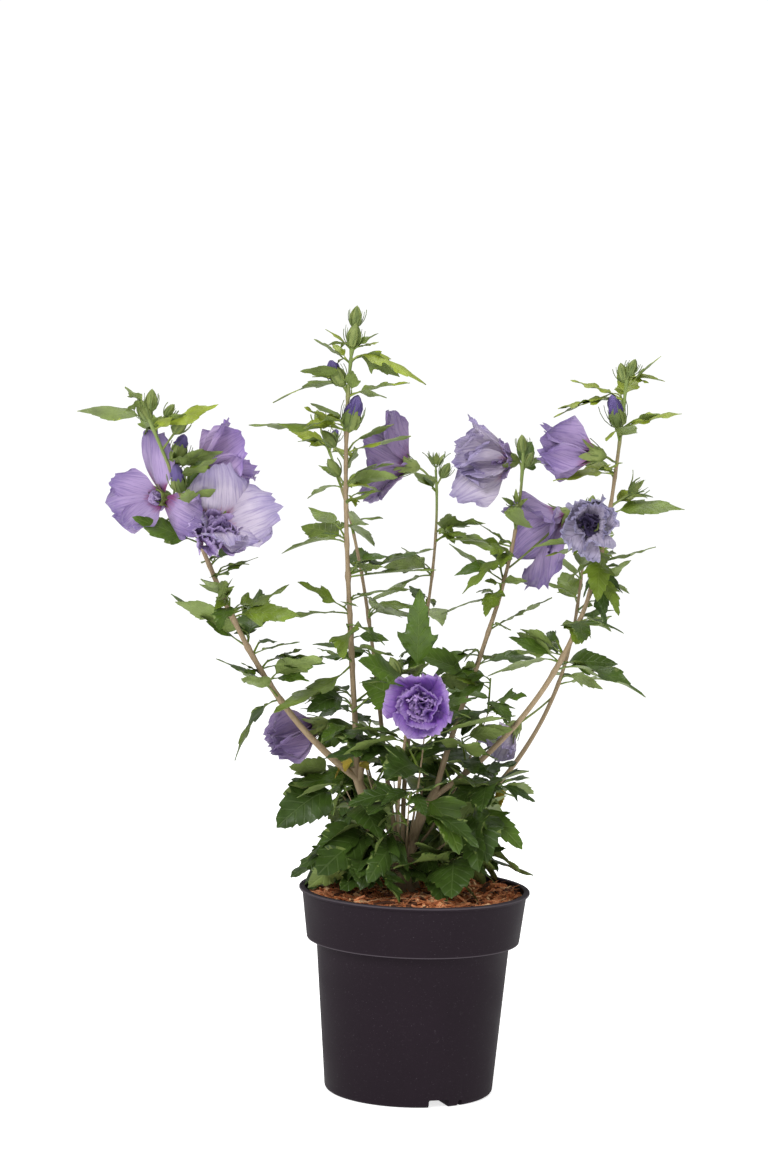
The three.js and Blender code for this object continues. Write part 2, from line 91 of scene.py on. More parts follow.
def between(stations, share):  # straight steps between the pairs of a table
    return float(np.interp(share, *zip(*stations)))


def grain(x, y, z):  # smooth unevenness, the same at the same place
    return noise.noise(Vector((x, y, z)))


def seeded(seed):  # the same numbers as the solids were grown with
    multiplier = 16807
    modulus = 2147483647
    state = seed * 7919

    def draw():
        nonlocal state
        state = state * multiplier % modulus
        return state / modulus
    return draw


def heading(azimuth, lift):  # a direction from its angles in degrees
    a = radians(azimuth)
    level = cos(radians(lift))
    return Vector((cos(a) * level, sin(a) * level, sin(radians(lift))))


def along(path, share):  # point on a Bezier curve of any degree
    points = [Vector(p) for p in path]
    while len(points) > 1:
        points = [a.lerp(b, share) for a, b in zip(points, points[1:])]
    return points[0]


def tangent(path, share):
    step = 0.001
    return (along(path, min(share + step, 1)) - along(path, max(share - step, 0))).normalized()


def sideOf(way):  # a level direction across
    return way.cross(Vector((0, 1, 0)) if abs(way.z) > 0.99 else worldUp).normalized()


def frameAt(path, share, roll=0):
    way = tangent(path, share)
    side = sideOf(way)
    turn = Matrix.Rotation(radians(roll), 3, way)
    return along(path, share), way, turn @ side, turn @ side.cross(way)


def circle(at, side, over, radius, count, shape=None):  # the corners of one ring, round or shaped by a rule
    ring = []
    for j in range(count):
        a = 2 * pi * j / count
        ring.append(at + (side * cos(a) + over * sin(a)) * radius * (shape(a) if shape else 1))
    return ring


# Joined meshes: skins gathered in a bag, then made one piece

def newBag():
    return {"corners": [], "faces": [], "uv": [], "tones": [], "ages": []}


def addSkin(bag, rings, uv=None, tone=0, underTone=None, ages=None):
    # rings of corners in mm, closed round and capped at both ends
    first = len(bag["corners"])
    count = len(rings[0])
    for i, ring in enumerate(rings):
        bag["corners"] += [tuple(corner) for corner in ring]
        bag["uv"] += uv[i] if uv else [(i, j / count) for j in range(count)]
        bag["ages"] += [ages[i] if ages else 0] * count
    for i in range(len(rings) - 1):
        for j in range(count):
            a = first + i * count + j
            b = first + i * count + (j + 1) % count
            bag["faces"].append((a, b, b + count, a + count))
            bag["tones"].append(tone if underTone is None or j < count / 2 else underTone)
    last = first + (len(rings) - 1) * count
    bag["faces"].append(tuple(first + j for j in reversed(range(count))))
    bag["faces"].append(tuple(last + j for j in range(count)))
    bag["tones"] += [tone, tone]


def joinedPiece(name, bag, materials, replaced=(), smoothAngle=60):
    mesh = bpy.data.meshes.new(name)
    mesh.from_pydata([(x * mm, y * mm, z * mm) for x, y, z in bag["corners"]], [], bag["faces"])
    corner = np.zeros(len(mesh.loops), np.int32)
    mesh.loops.foreach_get("vertex_index", corner)
    layer = mesh.uv_layers.new(name="growth")
    layer.data.foreach_set("uv", np.array(bag["uv"], np.float32)[corner].ravel())
    age = mesh.attributes.new("age", "FLOAT", "POINT")
    age.data.foreach_set("value", np.array(bag["ages"], np.float32))
    for material in materials:
        mesh.materials.append(material)
    mesh.polygons.foreach_set("material_index", bag["tones"])
    piece = bpy.data.objects.new(name, mesh)
    bpy.context.scene.collection.objects.link(piece)
    activate(piece)
    editAll()
    bpy.ops.mesh.remove_doubles(threshold=0.00001)
    bpy.ops.mesh.dissolve_degenerate(threshold=0.000005)
    finishEdit()
    bpy.ops.object.shade_smooth_by_angle(angle=radians(smoothAngle))
    settle(piece, replaced)


def settle(piece, replaced=()):
    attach(piece, "root")
    if replaced:
        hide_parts(*replaced)
    print("made", piece.name, len(piece.data.polygons), "faces")


# Materials

def addNode(tree, kind, sockets=None, **settings):  # a node given as a value stands for its first output
    made = tree.nodes.new("ShaderNode" + kind)
    for key, value in settings.items():
        setattr(made, key, value)
    for key, value in (sockets or {}).items():
        source = value.outputs[0] if isinstance(value, bpy.types.Node) else value
        if isinstance(source, bpy.types.NodeSocket):
            tree.links.new(source, made.inputs[key])
        else:
            made.inputs[key].default_value = source
    return made


def newMaterial(name):
    material = bpy.data.materials.new(name)
    material.use_nodes = True
    material.node_tree.nodes.clear()
    return material, material.node_tree


def finishMaterial(tree, relief=None, **sockets):  # relief is a height, its strength and its distance
    if relief:
        sockets["Normal"] = addNode(tree, "Bump", dict(zip(("Height", "Strength", "Distance"), relief)))
    skin = addNode(tree, "BsdfPrincipled", {key.replace("_", " "): value for key, value in sockets.items()})
    addNode(tree, "OutputMaterial", {"Surface": skin})


def objectPlace(tree):
    return addNode(tree, "TexCoord").outputs["Object"]


def growthPlace(tree):  # along and across a leaf or a petal
    return addNode(tree, "SeparateXYZ", {0: addNode(tree, "UVMap", uv_map="growth")}).outputs


def cloudOf(tree, place, scale, detail, distortion=0.0):
    return addNode(tree, "TexNoise", {"Vector": place, "Scale": scale, "Detail": detail,
                                      "Distortion": distortion})


def arithmetic(tree, operation, *values):
    return addNode(tree, "Math", dict(enumerate(values)), operation=operation)


def rangeOf(tree, value, low, high, start=0.0, end=1.0, kind="LINEAR"):
    return addNode(tree, "MapRange", {"Value": value, "From Min": low, "From Max": high, "To Min": start,
                                      "To Max": end}, interpolation_type=kind)


def stripOf(tree, value, low, high, height=1.0):  # full height below low, nothing above high
    return rangeOf(tree, value, low, high, height, 0.0, "SMOOTHSTEP")


def blendColour(tree, share, a, b):
    a, b = (linear(colour) if isinstance(colour, str) else colour for colour in (a, b))
    return addNode(tree, "Mix", {0: share, 6: a, 7: b}, data_type="RGBA").outputs[2]


# Injection-moulded polypropylene: nearly black and satin, with dust in the scratches from handling, and
# painted highlight lines along the collar's foot and the rim
def mouldedPolypropylene():
    material, tree = newMaterial("mouldedPolypropylene")
    place = objectPlace(tree)
    stretched = addNode(tree, "Mapping", {"Vector": place, "Scale": (0.6, 0.6, 1)})
    cloud = cloudOf(tree, place, 22.0, 4.0)
    scuff = cloudOf(tree, stretched, 480.0, 3.0)
    speck = cloudOf(tree, place, 1300.0, 1.0)
    scratch = rangeOf(tree, scuff, 0.66, 0.85, end=0.2)
    dust = rangeOf(tree, speck, 0.71, 0.82, end=0.5)
    scuffsAndHighlights = arithmetic(tree, "MAXIMUM", scratch, dust)
    level = addNode(tree, "SeparateXYZ", {0: place}).outputs[2]
    # painted highlights: a thin pale line round the pot at each of these heights, where light catches the
    # collar's foot and the rim
    for edge in potSizes["rubbedEdges"]:
        off = arithmetic(tree, "ABSOLUTE", arithmetic(tree, "SUBTRACT", level, edge * mm))
        scuffsAndHighlights = arithmetic(tree, "MAXIMUM", scuffsAndHighlights, stripOf(tree, off, 0.0003, 0.0011, 0.4))
    # one pale grey for the scratches, the dust and the painted highlight lines
    colour = blendColour(tree, scuffsAndHighlights, blendColour(tree, cloud, "#1d161c", "#251d24"), "#6b646b")
    rough = rangeOf(tree, cloud, 0.3, 0.7, 0.56, 0.68)
    finishMaterial(tree, (scuff, 0.12, 0.0004), Base_Color=colour, Roughness=rough, IOR=1.49,
                   Specular_IOR_Level=0.06)
    return material


# Young bark over green wood: matt and tan below, with fine lengthwise cracks, and green at the tips
def youngBark():
    material, tree = newMaterial("youngBark")
    place = objectPlace(tree)
    stretched = addNode(tree, "Mapping", {"Vector": place, "Scale": (1, 1, 0.16)})
    crack = cloudOf(tree, stretched, 900.0, 5.0)
    blotch = arithmetic(tree, "MULTIPLY", cloudOf(tree, place, 120.0, 4.0), 0.7)
    age = addNode(tree, "Attribute", attribute_name="age").outputs["Fac"]
    old = blendColour(tree, blotch, blendColour(tree, crack, "#6d5c46", "#bda786"), "#8b7558")
    green = blendColour(tree, crack, "#5f7435", "#8b9a55")
    colour = blendColour(tree, stripOf(tree, age, 0.08, 0.22), old, green)
    finishMaterial(tree, (crack, 0.5, 0.0006), Base_Color=colour, Roughness=0.72)
    return material


# A broad leaf with a waxy cuticle: sunken paler veins and a soft shine on its upper side
def waxyLeaf(name, body, vein, roughness):
    material, tree = newMaterial(name)
    place = objectPlace(tree)
    where = growthPlace(tree)
    across = arithmetic(tree, "ABSOLUTE", arithmetic(tree, "SUBTRACT", where[1], 0.5))
    slanted = arithmetic(tree, "SUBTRACT", where[0], across)
    pairs = arithmetic(tree, "MULTIPLY", slanted, 7.0)  # seven side veins on each side
    tooth = stripOf(tree, arithmetic(tree, "PINGPONG", pairs, 0.5), 0.03, 0.11, 0.7)
    sideVein = arithmetic(tree, "MULTIPLY", tooth, stripOf(tree, across, 0.1, 0.4))
    veins = arithmetic(tree, "MAXIMUM", stripOf(tree, across, 0.004, 0.013), sideVein)
    dark = tuple(c * 0.7 for c in linear(body)[:3]) + (1,)
    light = tuple(min(c * 1.35, 1) for c in linear(body)[:3]) + (1,)
    flesh = blendColour(tree, rangeOf(tree, cloudOf(tree, place, 70.0, 5.0), 0.3, 0.7), dark, light)
    colour = blendColour(tree, arithmetic(tree, "MULTIPLY", veins, 0.14), flesh, vein)
    fine = arithmetic(tree, "MULTIPLY", cloudOf(tree, place, 700.0, 2.0), 0.12)
    height = arithmetic(tree, "SUBTRACT", fine, veins)
    finishMaterial(tree, (height, 0.6, 0.0005), Base_Color=colour, Roughness=roughness,
                   Specular_IOR_Level=0.35)
    return material


# Petal tissue, thin and soft: fine veins fan out of a red throat, and some light passes through
def veinedPetal(name, edge, middle, throat, vein):
    material, tree = newMaterial(name)
    where = growthPlace(tree)
    fan = addNode(tree, "CombineXYZ", {0: arithmetic(tree, "MULTIPLY", where[1], 46.0),
                                       1: arithmetic(tree, "MULTIPLY", where[0], 2.2)})
    streak = cloudOf(tree, fan, 1.0, 4.0)
    cloud = cloudOf(tree, objectPlace(tree), 55.0, 3.0)
    shifted = arithmetic(tree, "SUBTRACT", where[0], 0.4)  # half of both noises' reach
    streaked = arithmetic(tree, "MULTIPLY_ADD", streak, 0.3, shifted)
    tint = addNode(tree, "ValToRGB", {0: arithmetic(tree, "MULTIPLY_ADD", cloud, 0.5, streaked)})
    for i, (share, code) in enumerate(((0.1, throat), (0.3, middle), (0.62, middle), (1.0, edge))):
        stop = tint.color_ramp.elements[i] if i < 2 else tint.color_ramp.elements.new(share)
        stop.position = share
        stop.color = linear(code)
    colour = blendColour(tree, rangeOf(tree, streak, 0.5, 0.66, end=0.55), tint, vein)
    finishMaterial(tree, (streak, 0.7, 0.001), Base_Color=colour, Roughness=0.55, Subsurface_Weight=0.15,
                   Subsurface_Scale=0.003, Subsurface_Radius=(1, 1, 1))
    return material


# Green sepals and stalks: soft hairs make them matt, and their green is mottled
def hairySepal(name, body, light):
    material, tree = newMaterial(name)
    cloud = cloudOf(tree, objectPlace(tree), 260.0, 4.0)
    colour = blendColour(tree, cloud, body, light)
    finishMaterial(tree, (cloud, 0.4, 0.0005), Base_Color=colour, Roughness=0.62)
    return material


# Composted bark: dull fibrous chips, from tan wood to red-brown bark
def compostedBark(name, pale, deep):
    material, tree = newMaterial(name)
    fibre = cloudOf(tree, objectPlace(tree), 600.0, 6.0, 1.5)
    colour = blendColour(tree, rangeOf(tree, fibre, 0.35, 0.65), deep, pale)
    finishMaterial(tree, (fibre, 0.7, 0.0008), Base_Color=colour, Roughness=0.88)
    return material


# The pot

potSizes = {  # mm
    "height": 168, "footRadius": 69.5, "shoulderRadius": 79.7, "collarFoot": 125.4, "collarRadius": 87.5,
    "rimRadius": 95, "lipWidth": 2.6, "lipDepth": 2.4, "cornerRadius": 3.5, "wall": 2, "floor": 8,
    # the last heights: where the painted highlight lines run round the pot, in mm
    "sides": 128, "edge": 0.35, "rubbedEdges": (125.9, 167.4),
    "channels": (3, 18, 6.5, 36, 21), "slots": (3, 4, 5, 60, 37),  # count, width, height, inner radius, turn
    "cutReach": 10, "cutEdge": 1.2, "floorInset": 12,
}


def makePot():
    s = potSizes
    lipFoot = s["rimRadius"] - s["lipWidth"]
    lipLevel = s["height"] - s["lipDepth"]
    corner = [(s["footRadius"] - s["cornerRadius"] * (1 - sin(a)), s["cornerRadius"] * (1 - cos(a)))
              for a in (radians(22.5 * step) for step in range(5))]
    body = [(mix(s["footRadius"], s["shoulderRadius"], share), mix(s["cornerRadius"], s["collarFoot"], share))
            for share in (0.25, 0.5, 0.75, 1)]
    collar = [(s["collarRadius"], s["collarFoot"] + 0.5), (s["collarRadius"] + 0.4, s["collarFoot"] + 3)]
    lip = [(lipFoot, lipLevel - 1), (s["rimRadius"] - 0.5, lipLevel), (s["rimRadius"], s["height"] - 1.6),
           (s["rimRadius"], s["height"] - 0.6), (s["rimRadius"] - 0.6, s["height"])]
    inside = [(lipFoot - s["wall"], s["height"]), (lipFoot - s["wall"], lipLevel),
              (s["collarRadius"] - s["wall"], s["collarFoot"] + 2.5),
              (s["shoulderRadius"] - s["wall"], s["collarFoot"] + 2),
              (s["footRadius"] - s["wall"], s["floor"])]
    profile = corner + body + collar + lip + inside
    deselectAll()
    bpy.ops.mesh.primitive_circle_add(vertices=s["sides"], radius=profile[0][0] * mm, fill_type="NGON")
    pot = bpy.context.object
    pot.name = "nursery_pot"
    editAll()
    for (radius, z), (nextRadius, nextZ) in zip(profile, profile[1:]):
        bpy.ops.mesh.extrude_region_move(TRANSFORM_OT_translate={"value": (0, 0, (nextZ - z) * mm)})
        grow = nextRadius / radius
        bpy.ops.transform.resize(value=(grow, grow, 1), center_override=(0, 0, nextZ * mm))
    bpy.ops.mesh.inset(thickness=s["floorInset"] * mm)
    finishEdit()
    for count, width, height, inner, turn in (s["channels"], s["slots"]):
        length = s["footRadius"] + s["cutReach"] - inner
        for i in range(count):
            cutAngle = radians(turn - 90 + i * 360 / count)
            deselectAll()
            middle = heading(degrees(cutAngle), 0) * (inner + length / 2) * mm
            bpy.ops.mesh.primitive_cube_add(size=1, location=middle, rotation=(0, 0, cutAngle))
            cutter = bpy.context.object
            cutter.scale = (length * mm, width * mm, 2 * height * mm)
            bpy.ops.object.transform_apply(location=True, rotation=True, scale=True)
            editAll()
            bpy.ops.mesh.bevel(offset=s["cutEdge"] * mm, segments=2, affect="EDGES")
            objectMode()
            applyModifier(pot, "BOOLEAN", object=cutter, operation="DIFFERENCE", solver="EXACT")
            bpy.data.objects.remove(cutter)
    applyModifier(pot, "BEVEL", width=s["edge"] * mm, segments=2, limit_method="ANGLE",
                  angle_limit=radians(40))
    bpy.ops.object.shade_smooth_by_angle(angle=radians(35))
    pot.data.materials.append(mouldedPolypropylene())
    settle(pot, ["pot"])


# The growing medium: a low mound with a layer of chips

soilSizes = {  # mm; tilt in degrees, roll in radians, bend and the chip's outline in shares
    "crown": 163, "flat": 26, "edge": 157.5, "foot": 151, "radius": 88.4, "slope": (0.8, 4),
    "rings": (1, 0.9, 0.8, 0.65, 0.5, 0.4, 0.3, 0.2, 0.1), "lumpSize": 8, "lumpHeight": 4,
    "chips": 1900, "chipLength": (7, 26), "chipWidth": (1.8, 6), "chipThickness": (0.6, 2), "seed": 7,
    "fibres": 700, "fibreStretch": 1.5, "fibreWidth": 0.5, "fibreThickness": 0.35,
    "clear": 4, "settled": (-0.6, 2.2), "tilt": 16, "roll": 0.45, "bend": 0.12,
    "chipOutline": ((-0.5, 0.5), (-0.2, 1), (0.25, 0.9), (0.5, 0.35)),
    "heapPlace": (62, 10), "heapHeight": 6, "heapSpread": 420,  # a little mound by the rim
}
chipTones = [("#fbb07a", "#c0704a"), ("#d0814d", "#934f2e"), ("#ffd9aa", "#e6ad78"), ("#6e4029", "#36200f")]
toneShares = (0, 0, 1, 1, 2, 3)


def soilHeight(radius):
    s = soilSizes
    share, rise = s["slope"]
    return between([(0, s["crown"]), (s["flat"], s["crown"]), (s["radius"] * share, s["edge"] + rise),
                    (s["radius"], s["edge"])], radius)


def makeSoil():
    s = soilSizes
    deselectAll()
    middle = (s["edge"] + s["foot"]) / 2
    bpy.ops.mesh.primitive_cylinder_add(vertices=96, radius=s["radius"] * mm, location=(0, 0, middle * mm),
                                        depth=(s["edge"] - s["foot"]) * mm)
    bed = bpy.context.object
    bed.name = "soil_bed"
    bpy.ops.object.transform_apply(location=True, rotation=True, scale=True)
    bpy.ops.object.mode_set(mode="EDIT")
    bpy.ops.mesh.select_all(action="DESELECT")
    objectMode()
    for face in bed.data.polygons:
        face.select = face.normal.z > 0.9
    bpy.ops.object.mode_set(mode="EDIT")
    bpy.ops.mesh.select_mode(type="FACE")
    for outer, inner in zip(s["rings"], s["rings"][1:]):
        bpy.ops.mesh.inset(thickness=(outer - inner) * s["radius"] * mm)
        rise = soilHeight(s["radius"] * inner) - soilHeight(s["radius"] * outer)
        bpy.ops.transform.translate(value=(0, 0, rise * mm))
    objectMode()
    lumps = bpy.data.textures.new("soilLumps", "CLOUDS")
    lumps.noise_scale = s["lumpSize"] * mm
    applyModifier(bed, "SUBSURF", subdivision_type="SIMPLE", levels=2, render_levels=2)
    applyModifier(bed, "DISPLACE", texture=lumps, strength=s["lumpHeight"] * mm, mid_level=0.6,
                  texture_coords="LOCAL")
    bpy.ops.object.shade_smooth()
    # dark brown fines: partly their own colour and partly painted shade in the gaps between the chips
    bed.data.materials.append(compostedBark("wetBarkFines", "#4a2c20", "#24160f"))
    settle(bed, ["soil"])


def makeChips():
    s = soilSizes
    rng = random.Random(s["seed"])
    bag = newBag()
    for i in range(s["chips"] + s["fibres"]):
        radius = (s["radius"] - s["clear"]) * sqrt(rng.random())
        centre = heading(rng.uniform(0, 360), 0) * radius
        length = rng.uniform(*s["chipLength"])
        if i < s["chips"]:
            width = rng.uniform(*s["chipWidth"])
            thick = rng.uniform(*s["chipThickness"])
        else:
            length *= s["fibreStretch"]
            width = s["fibreWidth"]
            thick = s["fibreThickness"]
        length = min(length, 2 * (s["radius"] - 2 - radius) + 5)  # none reaches the pot's wall
        away = (centre.x - s["heapPlace"][0]) ** 2 + (centre.y - s["heapPlace"][1]) ** 2
        heap = s["heapHeight"] * exp(-away / s["heapSpread"])
        centre.z = soilHeight(radius) + rng.uniform(*s["settled"]) + heap
        way = heading(rng.uniform(0, 360), rng.gauss(0, s["tilt"]))
        side = way.cross(worldUp).normalized()
        over = Matrix.Rotation(rng.gauss(0, s["roll"]), 3, way) @ side.cross(way)
        side = over.cross(way)
        bend = rng.uniform(-s["bend"], s["bend"]) * length
        rings = []
        for share, girth in s["chipOutline"]:
            middle = centre + way * length * share + over * bend * (1 - 4 * share * share)
            uneven = rng.uniform(0.8, 1.15) * girth
            rings.append([middle + side * x * width / 2 * uneven + over * y * thick / 2
                          for x, y in ((-1, -1), (1, -1), (1, 1), (-1, 1))])
        addSkin(bag, rings, tone=rng.choice(toneShares))
    chips = [compostedBark("barkChip" + str(i), pale, deep) for i, (pale, deep) in enumerate(chipTones)]
    joinedPiece("bark_mulch", bag, chips, smoothAngle=20)


# Growth: the same curves and rules as the solids

arms = {
    "arm_left": {"path": [(-12, 0, 174), (-24, -4, 202), (-40, -8, 230), (-53, -12, 268)], "girth": (7, 5.6)},
    "arm_right": {"path": [(-6, 0, 176), (-7, -2, 207), (2, -4, 226), (16, -6, 251)], "girth": (6.6, 5.4)},
}
trunk = {"foot": (-8, 0), "top": (-9, 0), "height": 25, "base": 163.3,
         "girth": [(0, 17), (0.25, 12.5), (0.5, 11), (0.75, 10), (1, 6.5)]}

# buds are (share, azimuth, lift, stalk, length, look); outer leaves are (share, azimuth, lift, droop, length)
shoots = {
    "left": {
        "path": [(-50, -12, 259), (-143, -42, 326), (-174, -72, 448), (-221, -105, 551)],
        "girth": (4.2, 1.5), "bare": 0.26, "leaves": 7, "turn": 313, "seed": 898, "size": (78, 48),
        "lift": (60, 37), "droop": (10, 35),
        "outer": [(0.99, 185, 40, -5, 61), (0.97, 350, 30, 20, 56), (0.87, 340, 35, 15, 48),
                  (0.77, 320, 50, 5, 51), (0.69, 200, 20, 20, 60), (0.51, 15, 20, 30, 53),
                  (0.36, 350, 30, 0, 55), (0.27, 205, 10, -70, 75), (0.6, 285, 35, 0, 46),
                  (0.52, 262, 40, -35, 50), (0.5, 335, 35, -5, 62), (0.49, 195, 25, 15, 52),
                  (0.42, 175, 35, 32, 76), (0.4, 340, 40, 10, 44), (0.32, 175, 30, 20, 48)],
        "buds": [(0.965, 185, 62, 9, 20, "green"), (0.99, 70, 84, 8, 18, "green"),
                 (0.97, 10, 52, 14, 12, "green"), (0.92, 350, 55, 16, 19, "tipped"),
                 (0.86, 330, 72, 8, 25, "tipped"), (0.8, 252, 60, 6, 25, "furled")],
    },
    "tall": {
        "path": [(-50, -12, 262), (-57, -24, 376), (-73, -37, 509), (-64, -50, 612)],
        "girth": (3.6, 1.7), "bare": 0.24, "leaves": 9, "turn": 63, "seed": 279, "size": (78, 44),
        "lift": (11, 44), "droop": (-10, 22),
        "outer": [(0.955, 350, 60, -35, 84), (0.885, 170, 55, -30, 78), (0.79, 185, 20, -5, 80),
                  (0.735, 10, 35, 10, 56), (0.66, 330, 45, 0, 52), (0.53, 195, 40, -25, 62),
                  (0.46, 20, 20, 15, 77), (0.4, 340, 40, 5, 55), (0.26, 205, -50, -22, 80),
                  (0.33, 265, 25, -30, 62), (0.985, 175, 60, 30, 28), (0.985, 5, 50, 30, 26)],
        "buds": [(1, 20, 84, 14, 18, "green"), (0.99, 300, 75, 1, 21, "green"),
                 (0.875, 170, 60, 8, 23, "tipped"), (0.775, 340, 75, 4, 30, "furled"),
                 (0.72, 175, 50, 14, 17, "green"), (0.66, 190, 55, 10, 17, "green")],
    },
    "back_left": {
        "path": [(-12, 4, 182), (-38, 43, 302), (-38, 79, 426), (-90, 115, 537)],
        "girth": (3.2, 1.3), "bare": 0.4, "leaves": 6, "turn": 185, "seed": 125, "size": (72, 46),
        "lift": (60, 70), "droop": (-15, 28),
        "outer": [(0.86, 150, 40, -35, 42), (0.56, 30, 40, 5, 43)],
        "buds": [(1, 150, 75, 4, 15, "green"), (0.95, 70, 50, 9, 15, "tipped")],
    },
    "centre": {
        "path": [(-9, 6, 181), (-20, 67, 303), (19, 111, 397), (9, 160, 505)],
        "girth": (3, 1.4), "bare": 0.45, "leaves": 5, "turn": 277, "seed": 325, "size": (70, 46),
        "lift": (34, 41), "droop": (-50, 20),
        "outer": [(0.81, 340, 50, -25, 74), (0.72, 190, 10, -35, 61)],
        "buds": [(1, 90, 85, 3, 17, "open"), (0.96, 20, 60, 8, 15, "green")],
    },
    "mid_right": {
        "path": [(14, -6, 245), (32, -12, 337), (80, -19, 421), (76, -25, 538)],
        "girth": (3.6, 1.5), "bare": 0.28, "leaves": 5, "turn": 215, "seed": 598, "size": (74, 46),
        "lift": (43, 19), "droop": (3, 33),
        "outer": [(0.74, 185, 20, 0, 52), (0.72, 215, 0, -45, 60), (0.59, 175, 30, -30, 53),
                  (0.43, 170, 25, -45, 52), (0.4, 10, 40, -5, 54), (0.62, 250, 20, -40, 48)],
        "buds": [(0.97, 120, 80, 2, 15, "green"), (0.93, 30, 60, 5, 14, "green"),
                 (0.84, 255, 20, 7, 15, "open")],
    },
    "right": {
        "path": [(14, -6, 245), (148, -34, 350), (145, -51, 470), (154, -75, 592)],
        "girth": (3.6, 1.7), "bare": 0.3, "leaves": 8, "turn": 140, "seed": 62, "size": (80, 46),
        "lift": (38, 70), "droop": (-34, 10),
        "outer": [(0.98, 15, 50, 40, 39), (0.89, 350, 35, 10, 51), (0.94, 175, 55, -30, 70),
                  (0.79, 200, 20, -15, 56), (0.59, 10, 20, 15, 49), (0.53, 340, 45, 35, 41),
                  (0.37, 165, 50, 20, 43), (0.33, 350, 40, -30, 89), (0.6, 265, 15, -60, 56),
                  (0.56, 300, 10, -55, 52), (0.62, 190, 30, -20, 50)],
        "buds": [(0.98, 150, 75, 5, 16, "green"), (1, 30, 65, 3, 15, "green"),
                 (0.885, 215, 70, 3, 27, "furled"), (0.72, 340, 35, 18, 19, "open")],
    },
    "back_right": {
        "path": [(-4, 4, 183), (148, 88, 298), (126, 105, 387), (143, 140, 470)],
        "girth": (3.4, 1.3), "bare": 0.42, "leaves": 7, "turn": 32, "seed": 84, "size": (72, 46),
        "lift": (22, 41), "droop": (-10, 30),
        "outer": [(0.69, 0, -10, -35, 35)],
        "buds": [(1, 60, 80, 4, 15, "green")],
    },
    "front": {
        "path": [(-10, -8, 184), (-22, -48, 232), (-14, -62, 296), (-4, -64, 346)],
        "girth": (2.6, 1.3), "bare": 0.3, "leaves": 6, "turn": 260, "seed": 83, "size": (76, 64),
        "lift": (34, 52), "droop": (-30, 8),
        "outer": [(1, 270, 88, 85, 75)],
        "buds": [(0.9, 170, 60, 22, 17, "green"), (0.84, 150, 50, 14, 12, "green")],
    },
}
skirt = [  # the low leafy shoots on the trunk, tier above tier
    {"name": "low", "count": 5, "turn": 245, "height": 180, "reach": 50, "rise": 12, "size": 80,
     "lift": 40, "droop": -38},
    {"name": "middle", "count": 6, "turn": 280, "height": 184, "reach": 68, "rise": 72, "size": 84,
     "lift": 42, "droop": -50},
    {"name": "high", "count": 5, "turn": 215, "height": 190, "reach": 62, "rise": 136, "size": 78,
     "lift": 45, "droop": -28},
]
growth = {
    "first": 0.6, "topmost": 0.985, "turnStep": 144, "petiole": 0.27,
    "turn": 36, "lift": 16, "droop": 26, "length": (0.82, 1.18), "roll": 56,
    "tries": [(0, 0), (24, 0), (-24, 0), (0, 20), (45, 10), (-45, 10), (20, 35), (-20, 35), (0, 60)],
    "held": 0.2,  # mm from a leaf's tip to a corner of the solid
    "tierSeed": 97, "shootSeed": 101, "sway": 20, "stretch": (0.85, 1.15),
    "skirtPath": ((0, 0), (0.4, 0.2), (0.75, 0.6), (1, 1)),  # outwards and upwards
}


def skirtShoots():
    g = growth
    made = {}
    for number, tier in enumerate(skirt):
        draw = seeded(g["tierSeed"] + number)
        for i in range(tier["count"]):
            azimuth = tier["turn"] + i * 360 / tier["count"] + g["sway"] * (draw() - 0.5)
            level = heading(azimuth, 0) * tier["reach"] * mix(*g["stretch"], draw())
            made[tier["name"] + "_" + str(i + 1)] = {
                "path": [(trunk["top"][0] + level.x * out, trunk["top"][1] + level.y * out,
                          tier["height"] + tier["rise"] * raised) for out, raised in g["skirtPath"]],
                "girth": (2, 1.1), "bare": 0.3, "leaves": 5, "turn": azimuth,
                "seed": g["shootSeed"] + number * 10 + i, "size": (tier["size"], tier["size"] * 0.8),
                "lift": (tier["lift"], tier["lift"]), "droop": (tier["droop"] - 12, tier["droop"] + 12),
                "outer": [], "buds": [],
            }
    return made


def leafPlan(at, azimuth, lift, droop, length, roll=0, share=0):
    return {"at": at, "azimuth": azimuth, "lift": lift, "droop": droop, "length": length, "roll": roll,
            "share": share}


def leafPlans(shoot):  # the rule, with the same draws in the same order
    g = growth
    draw = seeded(shoot["seed"])
    plans = [leafPlan(along(shoot["path"], share), *angles, share=share) for share, *angles in shoot["outer"]]
    for i in range(shoot["leaves"]):
        share = (i + g["first"]) / shoot["leaves"]
        stem = mix(shoot["bare"], g["topmost"], share)
        azimuth = shoot["turn"] + i * g["turnStep"] + g["turn"] * (draw() - 0.5)
        lift = mix(*shoot["lift"], share) + g["lift"] * (draw() - 0.5)
        droop = mix(*shoot["droop"], share) + g["droop"] * (draw() - 0.5)
        length = mix(*shoot["size"], share) * mix(*g["length"], draw())
        roll = g["roll"] * (draw() - 0.5)
        plans.append(leafPlan(along(shoot["path"], stem), azimuth, lift, droop, length, roll, stem))
    return plans


def leafPath(plan):  # up its stalk to the bend, then out along the blade
    petiole = growth["petiole"]
    bend = plan["at"] + heading(plan["azimuth"], plan["lift"]) * plan["length"] * petiole
    tip = bend + heading(plan["azimuth"], plan["droop"]) * plan["length"] * (1 - petiole)
    return [plan["at"], bend, tip]


def grownLeaves(name, shoot):  # of each leaf's tries, the one that the solid holds; none if it was skipped
    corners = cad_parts["foliage_" + name].data.vertices
    tree = kdtree.KDTree(len(corners))
    for i, corner in enumerate(corners):
        tree.insert(corner.co / mm, i)
    tree.balance()
    kept = []
    for plan in leafPlans(shoot):
        for turn, rise in growth["tries"]:
            tried = {**plan, "azimuth": plan["azimuth"] + turn, "lift": plan["lift"] + rise / 2,
                     "droop": plan["droop"] + rise}
            if tree.find(leafPath(tried)[2])[2] < growth["held"]:
                kept.append(tried)
                break
    return kept


# Leaves

